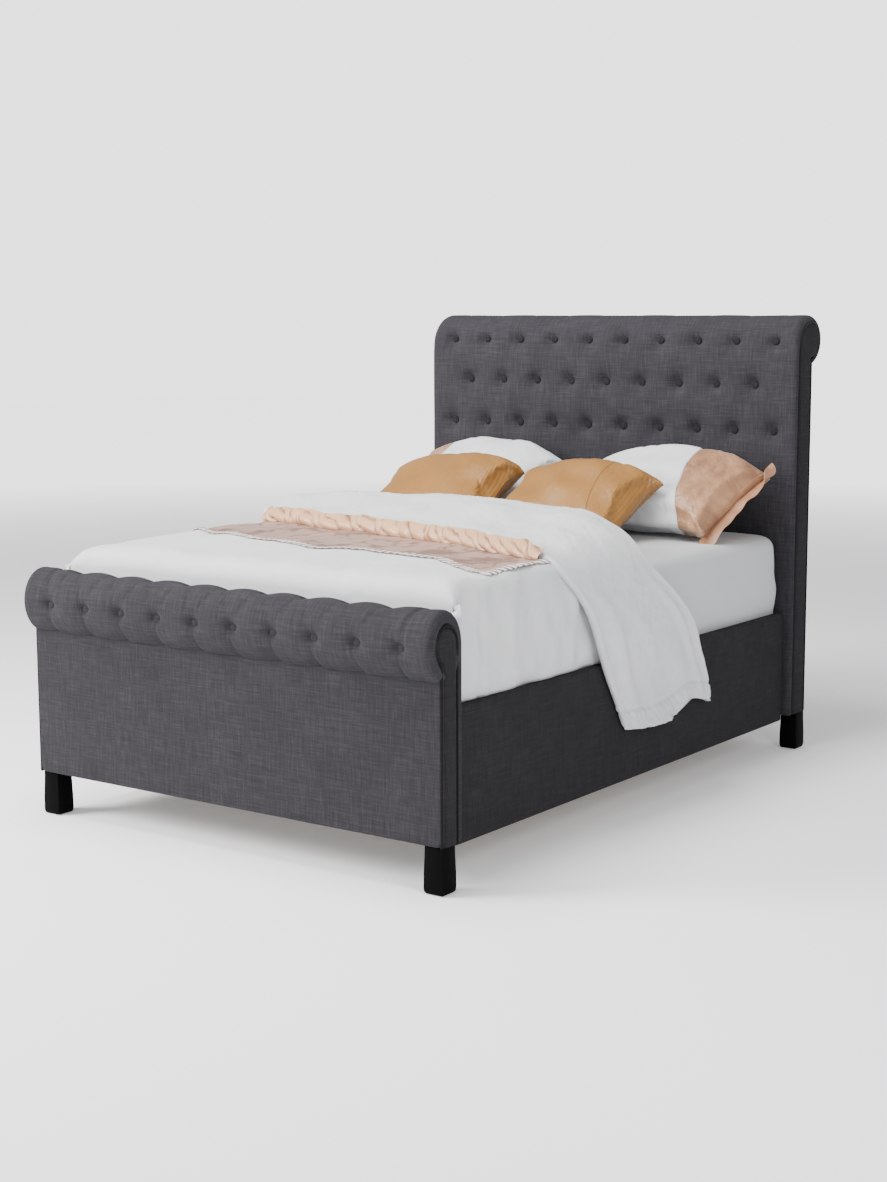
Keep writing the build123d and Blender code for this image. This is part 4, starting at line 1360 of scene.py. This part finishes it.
def makeRuffle():
    # gathered satin along the front of the turned-back end
    look = ruffleLook
    draw = np.random.default_rng(3)
    x = np.linspace(*look["across"], 620)
    front = foldFront(x)
    along = lengthsAlong(stacked(x, front))

    def spacedOut(values):
        return np.interp(along, np.linspace(0, along[-1], len(values)), values)

    beat = np.cumsum(0.25 + 1.3 * np.abs(spacedOut(draw.normal(size=60))))
    beat = beat / beat[-1] * along[-1] / look["pitch"] * 2 * pi
    strength = spacedOut(0.55 + 0.45 * draw.random(40))
    slant = spacedOut(0.3 + draw.random(25))
    share = np.linspace(0, 1, 11)[:, None]
    swell = np.sin(pi * np.minimum(1, share * 0.9 + 0.1)) ** 0.7
    turned = beat + look["slant"] * share * slant
    gather = (np.abs(np.sin(turned / 2)) ** 0.55 - 0.5) * look["gather"] * strength * (0.35 + 0.65 * swell)
    y = front - (0.012 * swell + gather + 0.006 * (1 - share)) + 0.016 * share**2 - 0.003
    height = look["high"] * share * (1 - 0.45 * rise(x, 0.58, 0.652)) + 0.0018 * np.sin(beat * 0.5) * share
    points = stacked(x, y, onDuvet(x, front - 0.012, 0.0) + 0.003 + height)
    cloth = stacked(turned / (2 * pi) * 0.05, share * look["high"] * 1.15)
    piece = thickCloth(points, cloth, look["thick"], 0.0, 70)
    finished(piece, "satinRuffle", "duvet", "peach_satin", ruffleSatin)


makeBand()
makeLace()
makeRuffle()
print("band and ruffle made")


# pillows and cushions: blown up in a cloth simulation, then laid at a lean
softLook = {
    "lean": 34,
    "voxel": 0.0065,
    "frames": 20,
    "furthest": 0.025,
    "halfWall": 0.0065,
    "fill": 0.7,
    "cloth": {
        "quality": 6,
        "mass": 0.25,
        "tension_stiffness": 12,
        "compression_stiffness": 12,
        "shear_stiffness": 6,
        "bending_stiffness": 0.15,
        "use_pressure": True,
        "uniform_pressure_force": 4.0,
    },
}
pillowTuck = 0.105
caseLooks = {
    "pillow": {"wider": -0.010, "depth": 0.470, "thick": 0.125, "pinch": 0.055, "sag": 0.20},
    "cushion": {"wider": 0.022, "depth": 0.425, "thick": 0.105, "pinch": 0.085, "sag": 0.10},
}
bends = {
    "pillow_left": {"droop": 0.075, "curl": 0.02, "tuck": 0.0, "tip": 0.0},
    "pillow_right": {"droop": 0.075, "curl": 0.02, "tuck": pillowTuck, "tip": 0.0},
    "cushion_left": {"droop": 0.080, "curl": 0.01, "tuck": -0.03, "tip": 0.13},
    "cushion_right": {"droop": 0.080, "curl": 0.01, "tuck": 0.03, "tip": 0.04},
}
caseFinishes = {
    "pillow_left": ("white_cotton", pillowLeftCloth),
    "pillow_right": ("white_cotton", pillowRightCloth),
    "cushion_left": ("gold_satin", goldSatin),
    "cushion_right": ("gold_satin", goldSeamed),
}
moved = {"cushion_right": -0.035}
softBoxes = {node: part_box(node) for node in bends}


def middleOf(node):
    low, high = softBoxes[node]
    return [(a + b) / 2 for a, b in zip(low, high)]


def leaning(middle, across, up, out):
    lean = radians(softLook["lean"])
    y, z = up * cos(lean) - out * sin(lean), up * sin(lean) + out * cos(lean)
    return stacked(middle[0] + across, middle[1] + y, middle[2] + z)


def softCase(width, look):
    # two panels sewn round their edge, lying in XY before they are filled
    countX, countY = 80, 60
    wall = softLook["halfWall"]
    a, b = np.meshgrid(np.linspace(-1, 1, countX), np.linspace(-1, 1, countY))
    u = width / 2 * a * (1 - look["pinch"] * (1 - b**2))
    v = look["depth"] / 2 * b * (1 - look["pinch"] * (1 - a**2))
    v = v * (1 - look["sag"] * np.abs(a) ** 2.6 * (b > 0) * b)
    full = ((1 - np.abs(a) ** 2.6) * (1 - np.abs(b) ** 2.4)) ** 0.62
    height = wall + (look["thick"] / 2 - wall) * full
    pieces = [clothGrid(stacked(u, v, face * height), stacked(u, v)) for face in (1, -1)]
    # a narrow wall all round joins the two
    ring = [(0, i) for i in range(countX)] + [(j, countX - 1) for j in range(1, countY)]
    ring += [(countY - 1, i) for i in range(countX - 2, -1, -1)] + [(j, 0) for j in range(countY - 2, -1, -1)]
    edge = np.array([(u[place], v[place]) for place in ring])
    rims = stacked(edge[:, 0], edge[:, 1], np.array([[-wall], [wall]]))
    pieces.append(clothGrid(rims, rims[..., :2]))
    piece = joined(pieces)
    with editing(piece):
        bpy.ops.mesh.remove_doubles(threshold=0.0004)
    normalsOut(piece)
    piece.data.remesh_voxel_size = softLook["voxel"]
    onlySelect(piece)
    bpy.ops.object.voxel_remesh()
    return piece


def fillAll(pieces):
    # one cloth simulation blows all of them up together, no place further than the furthest allowed
    starts = [places(piece) for piece in pieces]
    for piece in pieces:
        change = piece.modifiers.new("cloth", "CLOTH")
        for key, value in softLook["cloth"].items():
            setattr(change.settings, key, value)
        change.settings.effector_weights.gravity = 0
        change.collision_settings.use_collision = False
    for step in range(1, softLook["frames"] + 1):
        bpy.context.scene.frame_set(step)
    for piece, start in zip(pieces, starts):
        onlySelect(piece)
        bpy.ops.object.modifier_apply(modifier="cloth")
        gone = places(piece) - start
        length = np.maximum(np.linalg.norm(gone, axis=1, keepdims=True), 1e-9)
        put(piece, start + gone / length * np.minimum(length, softLook["furthest"]))
    bpy.context.scene.frame_set(1)


def bent(at, width, depth, droop, curl, tuck, tip):
    # the ends hang lower than the middle, the top corners more than the bottom ones; the top edge may tip
    a = at[:, 0] / (width / 2)
    b = at[:, 1] / (depth / 2)
    at[:, 0] -= tuck * rise(a, 0.2, 1.0) * (0.5 - 0.5 * b)
    low = droop * np.abs(a) ** 2.2 * (0.55 + 0.45 * b) - tip * at[:, 0] * (0.5 + 0.5 * b)
    at[:, 1] -= low
    at[:, 2] += curl * np.maximum(-b, 0) ** 2 - 0.35 * low
    at[:, 2] += np.sign(at[:, 2]) * rumple(at[:, 0], at[:, 1], int(width * 1000), 9, (0.12, 0.4)) * 0.004
    return at


def makePillows():
    cases = []
    for kind, look in caseLooks.items():
        for name in sides:
            low, high = softBoxes[f"{kind}_{name}"]
            width = high.x - low.x + look["wider"]
            cases.append((kind, name, width, softCase(width, look)))
    fillAll([piece for *about, piece in cases])
    for kind, name, width, piece in cases:
        node = f"{kind}_{name}"
        middle = middleOf(node)
        middle[0] += moved.get(node, 0)
        applied(piece, "SUBSURF", levels=1, render_levels=1)
        at = places(piece)
        flat = at[:, :2].copy()
        put(piece, leaning(middle, *bent(at, width, caseLooks[kind]["depth"], **bends[node]).T))
        mapCloth(piece, flat)
        smooth(piece)
        finished(piece, f"{kind}Filled_{name}", node, *caseFinishes[node], node)


makePillows()
print("pillows and cushions made")


flangeLook = {"reach": 0.062, "length": 0.47, "curl": 2.5, "behind": 0.024, "thick": 0.0022}


def makeFlange():
    # the flat border on the right pillow's outer end: its lower corner droops and its upper one curls over
    look = flangeLook
    low, high = softBoxes["pillow_right"]
    b = np.linspace(-1.02, 1, 120)
    share = np.linspace(0, 1, 15)[:, None]
    wide = look["reach"] * share
    upper = rise(b, 0.30, 0.95)
    lower = rise(-b, 0.35, 1.0)
    rootU = (high.x - low.x) / 2 - 0.040 - 0.030 * (1 - b**2) - pillowTuck * (0.5 - 0.5 * b)
    rootV = 0.222 * b * (1 - 0.12 * (b > 0) * b) - 0.070 * (0.55 + 0.45 * b)
    angle = np.maximum(look["curl"] * upper * share, 1e-4)
    wave = 0.0055 * np.sin(b * 7.0 + 0.4) + 0.0025 * np.sin(b * 19.0)
    u = rootU + wide * np.sin(angle) / angle * (1 - 0.25 * lower)
    v = rootV + share * (0.012 * upper - 0.040 * lower)
    lifted = wave - 0.022 * lower + 0.006 * (1 - lower) * (1 - upper)
    w = wide * (1 - np.cos(angle)) / angle + share * lifted - look["behind"]
    points = leaning(middleOf("pillow_right"), u, v, w)
    piece = thickCloth(points, stacked(b * look["length"] / 2, wide), look["thick"], 0.0, 60)
    finished(piece, "pillowFlange", "pillow_right", "peach_satin", flangeSatin)


makeFlange()


# floor and light
stage = {"roomLight": 0.58, "backdrop": 2.6, "nearGlow": 0.16, "farGlow": 2.0, "fade": (3.5, 11.0)}


def addStage():
    nothingSelected()
    bpy.ops.mesh.primitive_plane_add(size=40, location=(0, 0, -0.001))
    floor = bpy.context.object
    finish = Finish("floorWhite", roughness=0.9)
    cloud = finish.noise(finish.onPiece(), 0.7, 2.0)
    finish.feed("Base Color", finish.mix(cloud, (0.93, 0.93, 0.935), (0.96, 0.96, 0.96)))
    # the floor glows more further off, so that it runs into the background
    near, far = stage["fade"]
    distance = finish.node("VectorMath", {"operation": "LENGTH"}, {0: finish.onPiece()}, output=1)
    share = ((distance - near) * (1 / (far - near))).clamped()
    nearGlow = (stage["nearGlow"] / stage["farGlow"],) * 3
    finish.feed("Emission Color", finish.mix(share * share, nearGlow, (1.0, 1.0, 1.0)))
    finish.shader.inputs["Emission Strength"].default_value = stage["farGlow"]
    floor.data.materials.append(finish.material)
    floor.name = "floor"
    # the room lights the bed more softly than the backdrop that the camera sees
    world = bpy.data.worlds.new("studio")
    bpy.context.scene.world = world
    world.use_nodes = True
    made, link = world.node_tree.nodes, world.node_tree.links.new
    mixed = made.new("ShaderNodeMixShader")
    backgrounds = ((made["Background"], "roomLight"), (made.new("ShaderNodeBackground"), "backdrop"))
    for place, (background, strength) in enumerate(backgrounds, 1):
        background.inputs["Color"].default_value = (1.0, 1.0, 1.0, 1)
        background.inputs["Strength"].default_value = stage[strength]
        link(background.outputs[0], mixed.inputs[place])
    link(made.new("ShaderNodeLightPath").outputs["Is Camera Ray"], mixed.inputs[0])
    link(mixed.outputs[0], made["World Output"].inputs[0])


def addLight(name, place, aim, size, power, colour=(1, 1, 1)):
    data = bpy.data.lights.new(name, "AREA")
    data.size = size
    data.energy = power
    data.color = colour
    light = linked(name, data)
    light.location = place
    light.rotation_euler = (Vector(aim) - Vector(place)).to_track_quat("-Z", "Y").to_euler()


addStage()
addLight("windowLeft", (-3.4, -4.2, 3.2), (0, -0.2, 0.7), 2.2, 560, (1.0, 0.985, 0.96))
addLight("softFront", (0.4, -5.6, 2.2), (0, -0.4, 0.6), 2.2, 90, (0.97, 0.98, 1.0))
addLight("overHead", (-0.4, -1.2, 4.4), (0, 0.5, 0.8), 2.2, 240)
addLight("softRight", (4.0, -2.2, 2.4), (0.7, 0.0, 0.5), 1.2, 75)
print("stage set")
